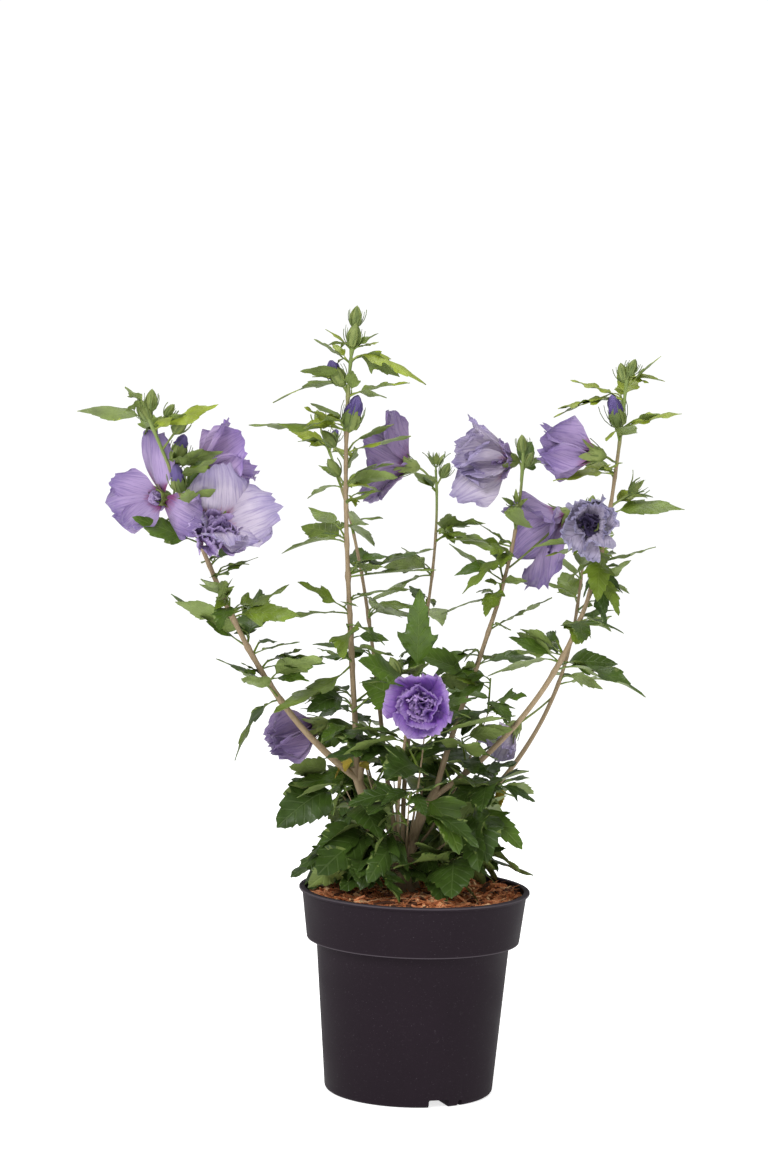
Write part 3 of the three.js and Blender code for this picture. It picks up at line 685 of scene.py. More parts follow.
leafShape = {
    # share of the blade, half width of a rounded and of a lobed leaf, sweep of the edge towards the tip
    "outline": [(0, 0.012, 0.012, 0), (0.06, 0.05, 0.035, 0), (0.13, 0.15, 0.08, 0), (0.2, 0.25, 0.14, 0),
                (0.27, 0.315, 0.2, 0.01), (0.31, 0.345, 0.245, 0.03), (0.335, 0.33, 0.235, 0.005),
                (0.385, 0.37, 0.34, 0.055), (0.42, 0.365, 0.37, 0.09), (0.445, 0.335, 0.28, 0.035),
                (0.49, 0.328, 0.175, 0), (0.53, 0.335, 0.155, 0.02), (0.56, 0.325, 0.165, 0.045),
                (0.585, 0.29, 0.145, 0.01), (0.64, 0.282, 0.165, 0.03), (0.67, 0.268, 0.18, 0.05),
                (0.695, 0.23, 0.145, 0.01), (0.76, 0.212, 0.148, 0.03), (0.79, 0.192, 0.15, 0.045),
                (0.815, 0.152, 0.108, 0.01), (0.88, 0.122, 0.092, 0.02), (0.93, 0.085, 0.07, 0.025),
                (0.96, 0.04, 0.04, 0.01), (1, 0.004, 0.004, 0)],
    "across": [-1, -0.66, -0.33, 0, 0.33, 0.66, 1],
    "stalk": [0, 0.3, 0.7], "stalkRadius": 0.75, "stalkFoot": 1.25, "thickness": 0.22, "midrib": 0.5,
    "broad": [(230, 1.12), (400, 0.86)],  # by height: low leaves are broader
    "plain": [(260, 0), (420, 0.62)],  # by height: upper leaves have a calmer edge
    "breadth": (0.88, 1.1), "calm": (0.5, 1.3), "lobes": (0.5, 0.35), "mostLobed": 1.15,
    "fold": (-0.16, 0.3), "cup": (-0.5, 0.25), "twist": (-28, 28), "roll": 20,
    "waves": ((0.8, 3), (0, 6.3), (0.01, 0.04)), "quilt": 0.02,
    "frontal": (240, 310, 300), "frontalLobes": 0.05, "frontalCalm": 0.8,  # azimuths, height
}


def bothFaces(columns):  # round a thin blade: along its upper face, and back along the lower one
    return [(v, 1) for v in columns] + [(v, -1) for v in columns[-2:0:-1]]


def addLeaf(bag, plan, rng, tone, underTone):
    s = leafShape
    path = leafPath(plan)
    height = plan["at"].z
    petiole = growth["petiole"]
    blade = plan["length"] * (1 - petiole)
    breadth = between(s["broad"], height) * rng.uniform(*s["breadth"])
    first, last, above = s["frontal"]
    frontal = first < plan["azimuth"] % 360 < last and height > above  # it shows its whole face in front
    lobed = min(max(rng.gauss(*s["lobes"]) + s["frontalLobes"] * frontal, 0), s["mostLobed"])
    plain = between(s["plain"], height) * rng.uniform(*s["calm"]) * (1 - s["frontalCalm"] * frontal)
    fold = rng.uniform(*s["fold"])
    cup = rng.uniform(*s["cup"])
    twist = rng.uniform(*s["twist"])
    roll = plan["roll"] + rng.gauss(0, s["roll"])
    waves = [[rng.uniform(*limits) for limits in s["waves"]] for _ in range(2)]
    quilt = rng.uniform(0, 9)
    order = bothFaces(s["across"])
    rings = []
    uv = []
    for share in s["stalk"]:
        at, way, side, over = frameAt(path, share * petiole, roll)
        radius = s["stalkRadius"] * (s["stalkFoot"] if share == 0 else 1) * (0.6 + plan["length"] / 160)
        turns = [2 * pi * j / len(order) for j in range(len(order))]
        rings.append([at - side * radius * cos(a) + over * radius * sin(a) for a in turns])
        uv.append([(0, 0.5)] * len(order))
    for share, rounded, cleft, sweep in s["outline"]:
        smooth = 0.012 + 0.27 * sin(pi * share ** 0.85) ** 1.25 if share < 1 else 0
        half = mix(mix(rounded, cleft, lobed), smooth, plain)
        sweep *= 1 - 0.5 * plain
        at, way, side, over = frameAt(path, mix(petiole, 1, share), roll + twist * share)
        ring = []
        spots = []
        for v, upper in order:
            reach = v * half * breadth * blade
            ripple = sum(size * sin(rate * 2 * pi * share + phase + 2 * v)
                         for rate, phase, size in waves)
            rise = abs(reach) * fold + cup * reach * reach / blade
            rise += ripple * abs(v) ** 1.3 * blade * min(half * 6, 1)
            rise += s["quilt"] * blade * abs(v) * grain(share * 5, v * 2, quilt)
            thick = s["thickness"] + (s["midrib"] * (1 - share) if v == 0 and upper < 0 else 0)
            ahead = sweep * abs(v) * blade
            ring.append(at + side * reach + way * ahead + over * (rise + upper * thick * (abs(v) < 1)))
            spots.append((share + sweep * abs(v), 0.5 + v * half))
        rings.append(ring)
        uv.append(spots)
    addSkin(bag, rings, uv, tone, underTone)


leafTones = [("#364b1a", "#879b62", 0.34), ("#465e1b", "#8fa550", 0.36), ("#647824", "#a6b558", 0.4),
             ("#8b9a31", "#bcc26c", 0.44), ("#6b7b3e", "#9cab72", 0.55), ("#b19a35", "#d6c873", 0.5)]
darkLeaf, midLeaf, lightLeaf, youngLeaf, leafBack, yellowLeaf = range(6)
leafAges = {"from": 220, "span": 360, "spread": 0.13,
            "limits": ((darkLeaf, 0.2), (midLeaf, 0.52), (lightLeaf, 0.85))}
# a fan of dark lobed leaves half way up the right shoot: share of the stem, azimuth, lift, droop, length
leafFan = [(0.61, 185, 60, 45, 36), (0.61, 200, 20, 80, 33), (0.6, 195, -10, -45, 36),
           (0.58, 340, -20, -50, 30), (0.57, 300, -40, -75, 38), (0.53, 320, -30, -70, 34),
           (0.58, 215, -20, -75, 30)]
# withered leaves that still hang low down: place, azimuth, lift, droop, length
deadLeaves = [((-56, -16, 276), 250, 20, -60, 19), ((-48, -18, 272), 300, 40, -30, 18),
              ((-60, -14, 270), 200, 0, -70, 16), ((68, 44, 248), 280, -10, -80, 22),
              ((70, 46, 240), 200, -20, -70, 16)]
sprays = {  # leaf size beside the parent leaf's, how many, droop, length of the twig in mm
    "low": {"leaf": (0.6, 0.95), "count": (1, 2), "droop": (-70, -30), "reach": (5, 16)},
    "middle": {"leaf": (0.65, 1), "count": (1, 2, 2), "droop": (-75, -35), "reach": (5, 18)},
    "high": {"leaf": (0.5, 0.9), "count": (3, 4), "droop": (-45, 15), "reach": (15, 42)},
    "shoot": {"leaf": (0.4, 0.8), "count": (1, 2, 2), "droop": (-40, 30), "reach": (4, 14)},
    "tuft": {"leaf": (0.5, 0.9), "droop": (-50, 20), "reach": (3, 6)},
}
sprayRule = {"turn": 50, "lift": (35, 70), "radius": (1.1, 0.7), "sides": 5, "older": 15,
             "leafPlace": (0.6, 1), "leafRoll": (-30, 30), "leafTurn": 75, "leafLift": (20, 60)}


def toneFor(height, rng):  # old dark leaves below, young pale ones at the tips
    pale = (height - leafAges["from"]) / leafAges["span"] + rng.gauss(0, leafAges["spread"])
    for tone, limit in leafAges["limits"]:
        if pale < limit:
            return tone
    return youngLeaf


def inBlossom(plan):  # a leaf that would grow through the heart of a blossom
    s = petalShape
    _, bend, tip = leafPath(plan)
    for b in blossoms.values():
        heart = Vector(b["at"]) + heading(*b["faces"]) * (s["calyxDepth"] + s["heart"] * b["petal"])
        if min((bend.lerp(tip, share) - heart).length for share in (0.3, 0.6, 1)) < s["clear"] * b["petal"]:
            return True
    return False


def addSpray(bag, parent, rng, spray, count):  # small leaves on a short twig in a leaf's axil
    s = sprayRule
    foot = parent["at"]
    azimuth = parent["azimuth"]
    way = heading(azimuth + rng.uniform(-s["turn"], s["turn"]), rng.uniform(*s["lift"]))
    tip = foot + way * rng.uniform(*spray["reach"])
    rings = []
    for share in (0, 0.5, 1):
        _, _, side, over = frameAt([foot, tip], share)
        rings.append(circle(foot.lerp(tip, share), side, over, mix(*s["radius"], share), s["sides"]))
    addSkin(bag, rings, tone=lightLeaf)
    for _ in range(count):
        plan = leafPlan(at=foot.lerp(tip, rng.uniform(*s["leafPlace"])), roll=rng.uniform(*s["leafRoll"]),
                        azimuth=azimuth + rng.uniform(-s["leafTurn"], s["leafTurn"]),
                        lift=rng.uniform(*s["leafLift"]), droop=rng.uniform(*spray["droop"]),
                        length=parent["length"] * rng.uniform(*spray["leaf"]))
        if not inBlossom(plan):
            addLeaf(bag, plan, rng, toneFor(plan["at"].z + s["older"], rng), leafBack)


def makeLeaves(shootsGrown):
    materials = [waxyLeaf("waxyLeaf" + str(i), *tones) for i, tones in enumerate(leafTones)]
    pieces = {}
    for name, shoot in shootsGrown.items():
        tier = "shoot" if shoot["buds"] else name.split("_")[0]
        group = "leaves_" + (name if shoot["buds"] else tier)
        piece = pieces.setdefault(group, {"bag": newBag(), "nodes": []})
        bag = piece["bag"]
        piece["nodes"].append("foliage_" + name)
        rng = random.Random(shoot["seed"])
        if tier != "shoot":  # a tuft at the tip of each low twig
            tip = leafPlan(along(shoot["path"], 0.96), shoot["turn"], 0, 0, 60)
            addSpray(bag, tip, rng, sprays["tuft"], 3)
        for plan in grownLeaves(name, shoot):
            addLeaf(bag, plan, rng, toneFor(plan["at"].z, rng), leafBack if plan["droop"] < 60 else midLeaf)
            addSpray(bag, plan, rng, sprays[tier], rng.choice(sprays[tier]["count"]))
    for share, *angles in leafFan:
        plan = leafPlan(along(shoots["right"]["path"], share), *angles, roll=20)
        addLeaf(pieces["leaves_right"]["bag"], plan, random.Random(plan["azimuth"]), darkLeaf, leafBack)
    for at, *angles in deadLeaves:
        plan = leafPlan(Vector(at), *angles, roll=40)
        addLeaf(pieces["leaves_middle"]["bag"], plan, random.Random(plan["length"]), yellowLeaf, yellowLeaf)
    for group, piece in pieces.items():
        joinedPiece(group, piece["bag"], materials, piece["nodes"], 50)


# Stems: trunk, arms and shoots as limbs with bark

stemSizes = {  # shares of the radius; step and knuckle width in mm
    "ridge": 0.15, "knuckle": 0.22, "knuckleWidth": 3.2, "sides": 14, "step": 5, "slim": 0.7,
    "grain": (1.3, 0.035, 7.3),  # of the ridges: round the stem, along it, from stem to stem
    "trunkRings": 26, "trunkSides": 30, "lump": 0.16, "lumpGrain": (1.6, 1.4), "buttress": 0.08,
}
prunedStub = {"path": [(-47, -12, 258), (-48, -13, 264), (-46, -15, 272), (-42, -17, 282)],
              "girth": (4.4, 3.2)}


def addLimb(bag, path, girth, joints=(), greenTip=False, seed=1):
    s = stemSizes
    length = sum((along(path, (i + 1) / 10) - along(path, i / 10)).length for i in range(10))
    count = max(6, int(length / s["step"]))
    shares = [i / count for i in range(count + 1)]
    around, lengthwise, apart = s["grain"]
    rings = []
    for share in shares:
        def ridged(a):
            lift = share * length * lengthwise + seed * apart
            return 1 + s["ridge"] * grain(cos(a) * around, sin(a) * around, lift)
        at, _, side, over = frameAt(path, share)
        offs = [(share - joint) * length / s["knuckleWidth"] for joint in joints]
        swell = 1 + sum(s["knuckle"] * exp(-off ** 2) for off in offs)
        radius = mix(*girth, share) * swell * s["slim"]
        rings.append(circle(at, side, over, radius, s["sides"], ridged))
    # young green wood has an age near 0, old bark has 1
    addSkin(bag, rings, ages=[max(0, (1 - share) * 1.1) if greenTip else 1 for share in shares])


def addTrunk(bag):
    s = stemSizes
    around, lengthwise = s["lumpGrain"]
    rings = []
    for i in range(s["trunkRings"] + 1):
        share = i / s["trunkRings"]

        def flared(a):
            lump = grain(cos(a) * around, sin(a) * around, share * lengthwise)
            return 1 + (s["lump"] * lump + s["buttress"] * sin(5 * a) * (1 - share))
        level = trunk["base"] + share * trunk["height"]
        centre = Vector((mix(trunk["foot"][0], trunk["top"][0], share), 0, level))
        radius = between(trunk["girth"], share)
        rings.append(circle(centre, Vector((1, 0, 0)), Vector((0, 1, 0)), radius, s["trunkSides"], flared))
    addSkin(bag, rings, ages=[1] * len(rings))


def makeStems(shootsGrown):
    bark = youngBark()
    bag = newBag()
    addTrunk(bag)
    joinedPiece("trunk_bark", bag, [bark], ["trunk"])
    for name, arm in arms.items():
        bag = newBag()
        addLimb(bag, arm["path"], arm["girth"], seed=len(name))
        if name == "arm_left":
            addLimb(bag, prunedStub["path"], prunedStub["girth"], seed=3)
        joinedPiece(name + "_bark", bag, [bark], [name])
    twigs = newBag()
    for name, shoot in shootsGrown.items():
        if not shoot["buds"]:
            addLimb(twigs, shoot["path"], (shoot["girth"][0], shoot["girth"][1] * 0.5), seed=shoot["seed"])
            continue
        bag = newBag()
        joints = [plan["share"] for plan in leafPlans(shoot)] + [bud[0] for bud in shoot["buds"]]
        addLimb(bag, shoot["path"], shoot["girth"], joints, greenTip=True, seed=shoot["seed"])
        joinedPiece("stem_" + name, bag, [bark], ["bough_" + name])
    joinedPiece("low_twigs", twigs, [bark])


# Buds and calyces

budShape = {
    "profile": [(0, 0.1), (0.06, 0.5), (0.2, 0.85), (0.4, 1), (0.6, 0.92), (0.8, 0.6), (0.93, 0.26),
                (1, 0.04)],
    "tipProfile": [(0, 0.8), (0.25, 1), (0.5, 0.94), (0.72, 0.76), (0.9, 0.46), (1, 0.12)],
    "blade": [(0, 0.7), (0.25, 1), (0.55, 0.8), (0.8, 0.45), (1, 0.05)], "bladeDepth": 0.35,
    "sides": 20, "tipSides": 22, "fullness": 0.27, "ribs": 0.1, "seed": 11,
    "bracts": 8, "bractTurn": 20, "bractLength": (0.75, 0.95), "bractWidth": 0.8, "bractSplay": (52, 62),
    "bractCurl": -34, "sepals": 5, "sepalFoot": (0.2, 0.12), "sepalWidth": 0.15,
}
# how far a bud is open; violet is what shows of the petals: start, height and width
budLooks = {
    "green": {"body": 1, "girth": 1, "sepal": 0.82, "splay": 22, "curl": -31},
    "tipped": {"body": 0.88, "girth": 1, "sepal": 0.7, "splay": 22, "curl": -31,
               "violet": (0.55, 0.47, 0.19)},
    "furled": {"body": 0.8, "girth": 0.8, "sepal": 0.6, "splay": 22, "curl": -31,
               "violet": (0.38, 0.66, 0.2)},
    "open": {"body": 0, "girth": 1, "sepal": 0.82, "splay": 24, "curl": 20},
}


def ringsRound(at, way, stations, count, shape=None):  # stations are the reach and the radius of each ring
    side = sideOf(way)
    over = side.cross(way)
    return [circle(at + way * reach, side, over, radius, count, lambda a: shape(a, reach) if shape else 1)
            for reach, radius in stations]


def addBlade(bag, foot, way, out, length, half, splay, curl, tone=0):
    # a narrow green blade, such as a sepal or a bract, that leaves its foot along way and bends outwards
    depth = budShape["bladeDepth"]
    across = way.cross(out).normalized()
    rings = []
    for share, width in budShape["blade"]:
        angle = radians(splay + curl * share)
        at = foot + (way * cos(angle) + out * sin(angle)) * length * share
        normal = out * cos(angle) - way * sin(angle)
        rings.append([at - across * half * width, at + normal * depth, at + across * half * width,
                      at - normal * depth])
    addSkin(bag, rings, tone=tone)


def spoke(way, turn):  # a direction across way, turned round it
    side = way.cross(worldUp).normalized()
    return Matrix.Rotation(radians(turn), 3, way) @ side.cross(way)


def ribbed(a, _):
    return 1 + budShape["ribs"] * cos(5 * a)


def twisted(a, reach):
    return 1 + 0.2 * sin(5 * a + reach * 0.5) + 0.13 * sin(8 * a - reach * 0.8)


def addBud(green, violet, at, azimuth, lift, stalk, length, look, rng):
    s = budShape
    way = heading(azimuth, lift)
    addSkin(green, ringsRound(at, way, [(-1, 1.1), (stalk * 0.5, 0.8), (stalk + 1, 1.0)], 8))
    foot = at + way * stalk
    if look["body"]:
        body = length * look["body"]
        fullness = s["fullness"] * look["girth"]
        stations = [(x * body, r * fullness * length) for x, r in s["profile"]]
        addSkin(green, ringsRound(foot, way, stations, s["sides"], ribbed))
    outward, upward = s["sepalFoot"]
    for i in range(s["sepals"]):
        out = spoke(way, i * 360 / s["sepals"])
        start = foot + out * length * outward + way * length * upward
        addBlade(green, start, way, out, length * look["sepal"], length * s["sepalWidth"], look["splay"],
                 look["curl"], i % 2)
    for i in range(s["bracts"]):
        out = spoke(way, i * 360 / s["bracts"] + s["bractTurn"])
        addBlade(green, foot + out * 1.2, way, out, length * rng.uniform(*s["bractLength"]), s["bractWidth"],
                 rng.uniform(*s["bractSplay"]), s["bractCurl"], 1)
    if "violet" in look:
        start, tall, wide = look["violet"]
        count = s["tipSides"]
        stations = [(length * (start + tall * x), r * length * wide) for x, r in s["tipProfile"]]
        uv = [[(0.5 + 0.4 * i / 5, j / count) for j in range(count)] for i in range(len(stations))]
        addSkin(violet, ringsRound(foot, way, stations, count, twisted), uv)


def makeBuds(green, violet):
    rng = random.Random(budShape["seed"])
    for shoot in shoots.values():
        for share, azimuth, lift, stalk, length, look in shoot["buds"]:
            at = along(shoot["path"], share)
            addBud(green, violet, at, azimuth, lift, stalk, length, budLooks[look], rng)


# Blossoms

regularPetals = [(i * 72, 1, 1, 0) for i in range(5)]
blossoms = {  # each petal of one that isn't regular: turn, length and width beside the rule's, and lean
    "left_far": {"at": (-206, -68, 487), "faces": (220, 0), "open": (28, 60), "petal": 47, "core": 9,
                 "on": ("left", 0.84), "look": "violet",
                 "petals": [(2, 1.2, 0.95, 28), (70, 0.9, 0.9, 0), (112, 0.95, 1.0, -4), (165, 0.8, 1.0, -16),
                            (246, 0.9, 0.95, 54)]},
    "left_big": {"at": (-171, -75, 461), "faces": (292, 26), "open": (30, 72), "petal": 52, "core": 20,
                 "on": ("left", 0.66), "look": "pale", "coreShift": (-1, 0, -7),
                 "petals": [(6, 1.1, 0.95, 0), (280, 1.15, 0.95, 0), (238, 0.75, 0.9, 0),
                            (190, 0.72, 1.0, -22), (100, 0.5, 0.9, -20)]},
    "left_high": {"at": (-188, -68, 507), "faces": (15, 28), "open": (10, 40), "petal": 46, "core": 0,
                  "on": ("left", 0.78), "look": "lilac",
                  "petals": [(0, 0.95, 1, 0), (72, 1.05, 1, 0), (144, 1, 1, 0), (216, 1.05, 1, 0),
                             (288, 0.9, 1, 0)]},
    "back_centre": {"at": (-8, 141, 508), "faces": (166, 6), "open": (26, 60), "petal": 50, "core": 7,
                    "on": ("centre", 0.97), "look": "dusky",
                    "petals": [(350, 1.05, 0.8, 20), (300, 1.05, 1, 0), (225, 1.05, 1, 0), (150, 0.95, 1, 0),
                               (70, 0.95, 1, 0)]},
    "mid_double": {"at": (72, 2, 522), "faces": (200, 2), "open": (20, 53), "petal": 51, "core": 14,
                   "on": ("mid_right", 0.9), "look": "pale", "whorls": 2,
                   "petals": [(10, 1.05, 1, 0), (78, 0.95, 1, 0), (150, 1, 1, 0), (210, 0.95, 1, -30),
                              (288, 0.95, 1, -34)]},
    "right_bell": {"at": (137, -76, 531), "faces": (172, 10), "open": (4, 22), "petal": 44, "core": 0,
                   "on": ("right", 0.82), "look": "violet", "crumple": 0.9},
    "mid_hanging": {"at": (117, 14, 480), "faces": (206, -24), "open": (26, 62), "petal": 52, "core": 0,
                    "on": ("mid_right", 0.68), "look": "violet",
                    "petals": [(340, 0.9, 1.1, -8), (60, 0.9, 0.8, 0), (125, 1.0, 0.8, -10),
                               (250, 0.9, 1.1, -14), (205, 1.25, 0.85, -10)]},
    "wilted": {"at": (130, -80, 476), "faces": (262, 8), "open": (78, 18), "petal": 29, "core": 11,
               "on": ("right", 0.66), "look": "wilted", "whorls": 2, "crumple": 2.5,
               "petals": [(20, 1.05, 1, 0), (92, 0.85, 1, 0), (164, 1.15, 0.9, 0), (236, 0.8, 1, 0),
                          (308, 1.1, 0.9, 0)]},
    "front_cup": {"at": (1, -76, 329), "faces": (264, 4), "open": (64, 32), "petal": 33, "core": 16,
                  "on": ("front", 0.94), "look": "deep", "whorls": 2, "crumple": 1.0,
                  "petals": [(i * 72 + 10, 1, 0.95, 0) for i in range(5)]},
    "left_low": {"at": (-78, -2, 303), "faces": (190, -20), "open": (2, 12), "petal": 42, "core": 0,
                 "on": ("left", 0.12), "look": "dusky", "crumple": 0.7},
    "right_low": {"at": (84, 78, 296), "faces": (208, -38), "open": (14, 42), "petal": 28, "core": 5,
                  "on": ("back_right", 0.44), "look": "pale"},
    "back_low": {"at": (44, 86, 214), "faces": (250, -10), "open": (16, 44), "petal": 27, "core": 0,
                 "on": ("back_right", 0.3), "look": "pale"},
}
petalShape = {
    "width": [(0, 0.08), (0.15, 0.19), (0.4, 0.4), (0.6, 0.48), (0.78, 0.53), (0.92, 0.5), (1, 0.42)],
    "rows": 19, "columns": 17, "calyxDepth": 7, "heart": 0.35, "clear": 0.45, "thickness": 0.16,
    "overlap": 0.16,
    "bend": 0.45, "fold": 0.11, "pleat": 0.05, "frill": 0.06, "ragged": 0.055,  # shares of the length
    "crumple": 1.4, "claw": 3.5, "cup": (0.0, 0.3), "sway": (-5, 5), "rightLength": (0.92, 1.08),
    "whorls": ((0, 1, 0), (36, 0.8, -18)),  # turn, size and lean of each ring of petals
    "seed": 300, "ruffleSeed": 40,
}
coreShape = {  # the crumpled petals inside a double flower, sizes beside the core's
    "count": 1.5, "outward": 1.2, "lean": (-12, 52), "sway": (-12, 12), "curl": (-50, 35),
    "length": (0.85, 1.5), "crumple": 1.9, "widen": 0.95, "ring": 0.45, "depth": 2,
}
calyxShape = {
    "cup": [(-3, 1.6), (-1, 3.6), (1, 5.6), (6, 6.6), (11, 6.9), (11.2, 5.8), (5, 5)], "sides": 20,
    "ribs": 0.05, "sepals": 5, "sepalLength": 15, "sepalWidth": 4.2, "sepalCurl": 16, "bracts": 7,
    "bractLength": (12, 17), "stalk": (1.2, 1.5), "column": [(0, 1.4), (0.3, 1.2), (0.55, 1.9), (0.62, 0.5)],
}
petalTones = {  # edge, middle, throat and vein
    "pale": ("#8c7fab", "#bfb3c8", "#8f2a62", "#77689a"),
    "violet": ("#6f5a92", "#9d87b4", "#7c2f68", "#5c4684"),
    "lilac": ("#8a70b2", "#c4aad6", "#8c4080", "#6f569c"),
    "dusky": ("#6b5588", "#8b759d", "#5c2c5c", "#4f3c72"),
    "furled": ("#7f70aa", "#52427f", "#452a74", "#33275c"),
    # deep, for the cupped flower in front: its dark middle is partly painted shade inside the cup, and its
    # pale edge partly a painted highlight on the rim
    "deep": ("#a98dc6", "#8456b2", "#5f3a94", "#5e3f98"),
    "inner": ("#b9a4d2", "#947bb0", "#7c3476", "#634c90"),
    "ruffled": ("#c0a4d6", "#9e7cc2", "#6a3f98", "#7452a6"),
    "wilted": ("#8f8aae", "#b5abc4", "#2c2440", "#4c4664"),
    "withered": ("#4a3f62", "#352b4a", "#1d1530", "#241c3a"),
}
innerLooks = {"deep": "ruffled", "wilted": "withered"}  # the others take the look called inner


def addPetal(bag, throat, way, turn, angles, length, rng, crumple, widen, tone=0, ring=petalShape["claw"]):
    s = petalShape
    out = spoke(way, turn)
    across = way.cross(out)

    def towards(angle):
        return way * cos(radians(angle)) + out * sin(radians(angle))
    claw = throat + out * ring
    bend = claw + towards(angles[0]) * length * s["bend"]
    path = [claw, bend, bend + towards(angles[1]) * length * (1 - s["bend"])]
    own = rng.uniform(0, 90)  # where this petal lies in the noise
    cup = rng.uniform(*s["cup"])
    order = bothFaces([-1 + 2 * j / (s["columns"] - 1) for j in range(s["columns"])])
    rings = []
    uv = []
    for i in range(s["rows"]):
        share = i / (s["rows"] - 1)
        half = between(s["width"], share) * length * widen
        corners = []
        spots = []
        for v, face in order:
            torn = s["ragged"] * grain(v * 5.5, 0, own)
            torn += 0.4 * s["ragged"] * grain(v * 14, 3, own)
            rounded = share * (1 - 0.28 * v * v * share) + torn * 2 * share ** 3
            at = along(path, rounded)
            normal = tangent(path, min(max(rounded, 0), 1)).cross(across)
            lift = cup * v * v * half * 0.9 + s["overlap"] * v * half
            broad = grain(v * 1.3, share * 1.6, own + 20)
            pleat = grain(v * 4.5, share * 0.9, own + 40)
            frill = grain(v * 7, share * 6, own + 60)
            lift += crumple * length * (s["fold"] * broad * share + s["pleat"] * pleat * share ** 0.8)
            lift += crumple * length * s["frill"] * frill * share ** 4
            thick = 0 if abs(v) == 1 or i in (0, s["rows"] - 1) else s["thickness"]
            spot = at + across * v * half * cos(0.5 * v * cup) - normal * lift + normal * thick * face
            corners.append(spot)
            spots.append((share, 0.5 + v * (0.12 + 0.38 * share)))
        rings.append(corners)
        uv.append(spots)
    addSkin(bag, rings, uv, tone)


def addPetals(bag, b, throat, way, draw, rng):
    s = petalShape
    c = coreShape
    for turn, size, lean in s["whorls"][:b.get("whorls", 1)]:
        for at, long, broad, tip in b.get("petals", regularPetals):
            angles = [angle + lean + tip + 10 * (draw() - 0.5) + rng.uniform(*s["sway"])
                      for angle in b["open"]]
            length = b["petal"] * size * mix(*s["rightLength"], draw()) * long
            addPetal(bag, throat, way, at + turn + rng.uniform(*s["sway"]), angles, length, rng,
                     b.get("crumple", s["crumple"]), broad)
    heart = throat - way * c["depth"] + Vector(b.get("coreShift", (0, 0, 0)))
    for _ in range(int(b["core"] * c["count"])):
        outward = rng.random() ** c["outward"]
        lean = mix(*c["lean"], outward) + rng.uniform(*c["sway"])
        addPetal(bag, heart, way, rng.uniform(0, 360), (lean, lean + rng.uniform(*c["curl"])),
                 b["core"] * rng.uniform(*c["length"]), rng, c["crumple"], c["widen"], 1,
                 outward * b["core"] * c["ring"])


def addCalyx(green, b, centre, way, rng):
    s = calyxShape
    spread = b["open"][0] + 25 if b["open"][0] > 45 else 12 + 0.3 * b["open"][0]  # of the sepals, in degrees
    stemName, share = b["on"]
    join = along(shoots[stemName]["path"], share)
    addLimb(green, [join, join.lerp(centre, 0.4) + Vector((0, 0, -3)), centre - way * 8, centre], s["stalk"])
    cup = ringsRound(centre, way, s["cup"], s["sides"], lambda a, reach: 1 + s["ribs"] * cos(5 * a))
    addSkin(green, cup)
    for i in range(s["sepals"]):
        out = spoke(way, i * 72 + 36)
        addBlade(green, centre + out * 5.2 + way * 5, way, out, s["sepalLength"], s["sepalWidth"], spread,
                 s["sepalCurl"])
    for i in range(s["bracts"]):
        out = spoke(way, i * 51 + 10)
        length = rng.uniform(*s["bractLength"])
        addBlade(green, centre + out * 2.4 - way, way, out, length, 0.8, max(42, spread), -8, 1)


def makeBlossoms(green, petals):
    for number, (name, b) in enumerate(blossoms.items()):
        draw = seeded(petalShape["seed"] + number)
        rng = random.Random(petalShape["ruffleSeed"] + number)
        bag = newBag()
        centre = Vector(b["at"])
        way = heading(*b["faces"])
        throat = centre + way * petalShape["calyxDepth"]
        addPetals(bag, b, throat, way, draw, rng)
        if not b["core"]:  # the column of stamens
            stations = [(b["petal"] * reach, radius) for reach, radius in calyxShape["column"]]
            addSkin(bag, ringsRound(throat, way, stations, 10), tone=1)
        skins = [petals[b["look"]], petals[innerLooks.get(b["look"], "inner")]]
        joinedPiece("petals_" + name, bag, skins, ["blossom_" + name], 75)
        addCalyx(green, b, centre, way, rng)


# Build everything

makePot()
makeSoil()
makeChips()
grown = {**shoots, **skirtShoots()}
makeLeaves(grown)
makeStems(grown)
petalLooks = {look: veinedPetal(look + "Petal", *tones) for look, tones in petalTones.items()}
greens = newBag()
violets = newBag()
makeBlossoms(greens, petalLooks)
makeBuds(greens, violets)
sepalGreens = [hairySepal("paleSepal", "#5e7030", "#8c9752"), hairySepal("darkSepal", "#46582a", "#74853f")]
joinedPiece("buds_and_calyces", greens, sepalGreens)
joinedPiece("furled_petals", violets, [petalLooks["furled"]])

# Studio: floor, light and camera

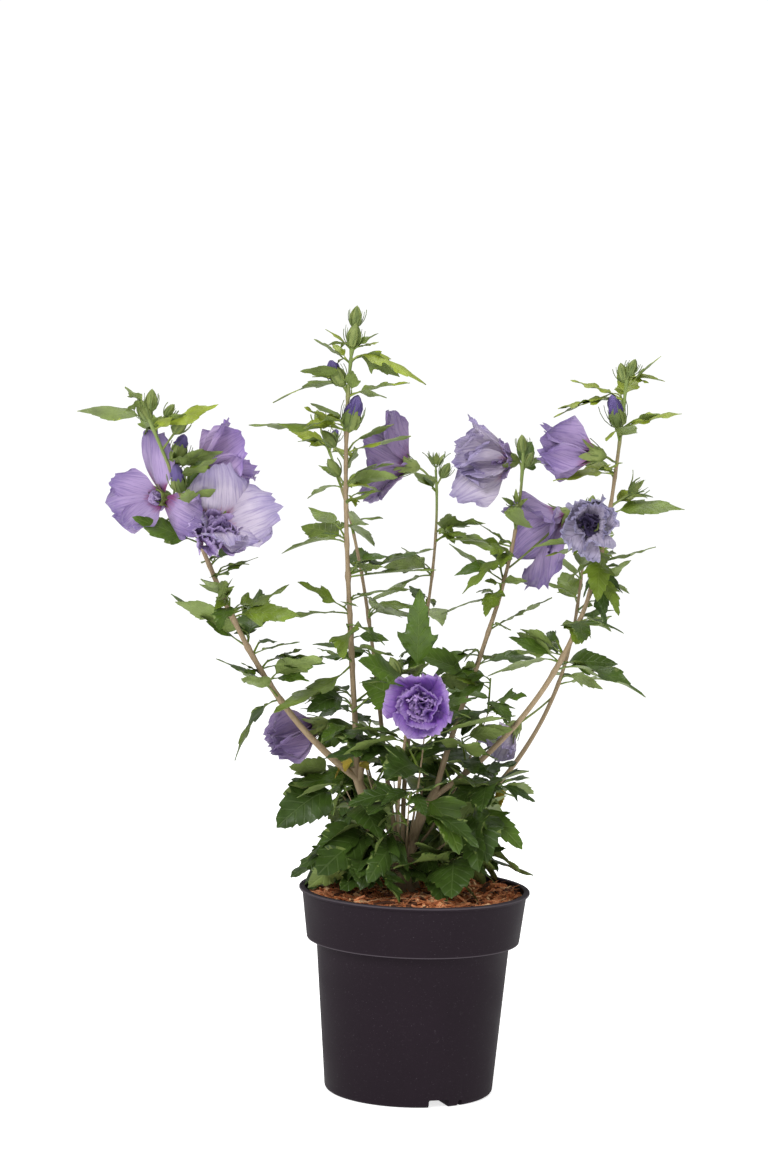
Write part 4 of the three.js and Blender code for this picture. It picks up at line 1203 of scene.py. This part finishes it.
studio = {
    "floorSize": 12, "floorColours": ("#f6f6f6", "#fafafa"), "glow": 0.74, "seen": 1.05, "lit": 0.32,
    "lights": [  # name, place, aim, size in m, power in W
        ("key", (-1.3, -2.2, 2.1), (0, 0, 0.35), 1.3, 58), ("fill", (2.0, -1.8, 1.2), (0, 0, 0.35), 1.8, 14),
        ("top", (0, 0.5, 2.4), (0, 0, 0.3), 1.6, 26)],
    "cameraPlace": (-0.033, -2.6, 0.629), "pitch": -0.0785, "roll": 0.0308, "lens": 99.7,
}


def makeStudio():
    s = studio
    deselectAll()
    bpy.ops.mesh.primitive_plane_add(size=s["floorSize"], location=(0, 0, 0))
    floor = bpy.context.object
    floor.name = "studio_floor"
    material, tree = newMaterial("paintedFloor")
    cloud = cloudOf(tree, objectPlace(tree), 3.0, 2.0)
    finishMaterial(tree, Base_Color=blendColour(tree, cloud, *s["floorColours"]), Roughness=0.7,
                   Emission_Color=(1, 1, 1, 1), Emission_Strength=s["glow"])
    floor.data.materials.append(material)
    world = bpy.data.worlds.new("studioWorld")
    bpy.context.scene.world = world
    world.use_nodes = True
    background = world.node_tree.nodes["Background"]
    background.inputs["Color"].default_value = (1, 1, 1, 1)
    seen = addNode(world.node_tree, "LightPath").outputs["Is Camera Ray"]
    strength = addNode(world.node_tree, "MapRange", {"Value": seen, "To Min": s["lit"], "To Max": s["seen"]})
    world.node_tree.links.new(strength.outputs[0], background.inputs["Strength"])
    bpy.context.scene.view_settings.view_transform = "Standard"
    for name, place, aim, size, power in s["lights"]:
        light = bpy.data.lights.new(name, "AREA")
        light.energy = power
        light.size = size
        lamp = bpy.data.objects.new(name, light)
        lamp.location = place
        lamp.rotation_euler = (Vector(aim) - Vector(place)).to_track_quat("-Z", "Y").to_euler()
        bpy.context.scene.collection.objects.link(lamp)
    lookForward = Vector((0, cos(s["pitch"]), sin(s["pitch"])))
    lookUp = Vector((0, -sin(s["pitch"]), cos(s["pitch"])))
    right = Vector((1, 0, 0)) * cos(s["roll"]) + lookUp * sin(s["roll"])
    upward = lookUp * cos(s["roll"]) - Vector((1, 0, 0)) * sin(s["roll"])
    view = bpy.data.cameras.new("camera")
    view.sensor_width = 36
    view.lens = s["lens"]
    camera = bpy.data.objects.new("camera", view)
    turn = Matrix((right, upward, -lookForward)).transposed().to_4x4()
    camera.matrix_world = Matrix.Translation(s["cameraPlace"]) @ turn
    bpy.context.scene.collection.objects.link(camera)
    bpy.context.scene.camera = camera


makeStudio()
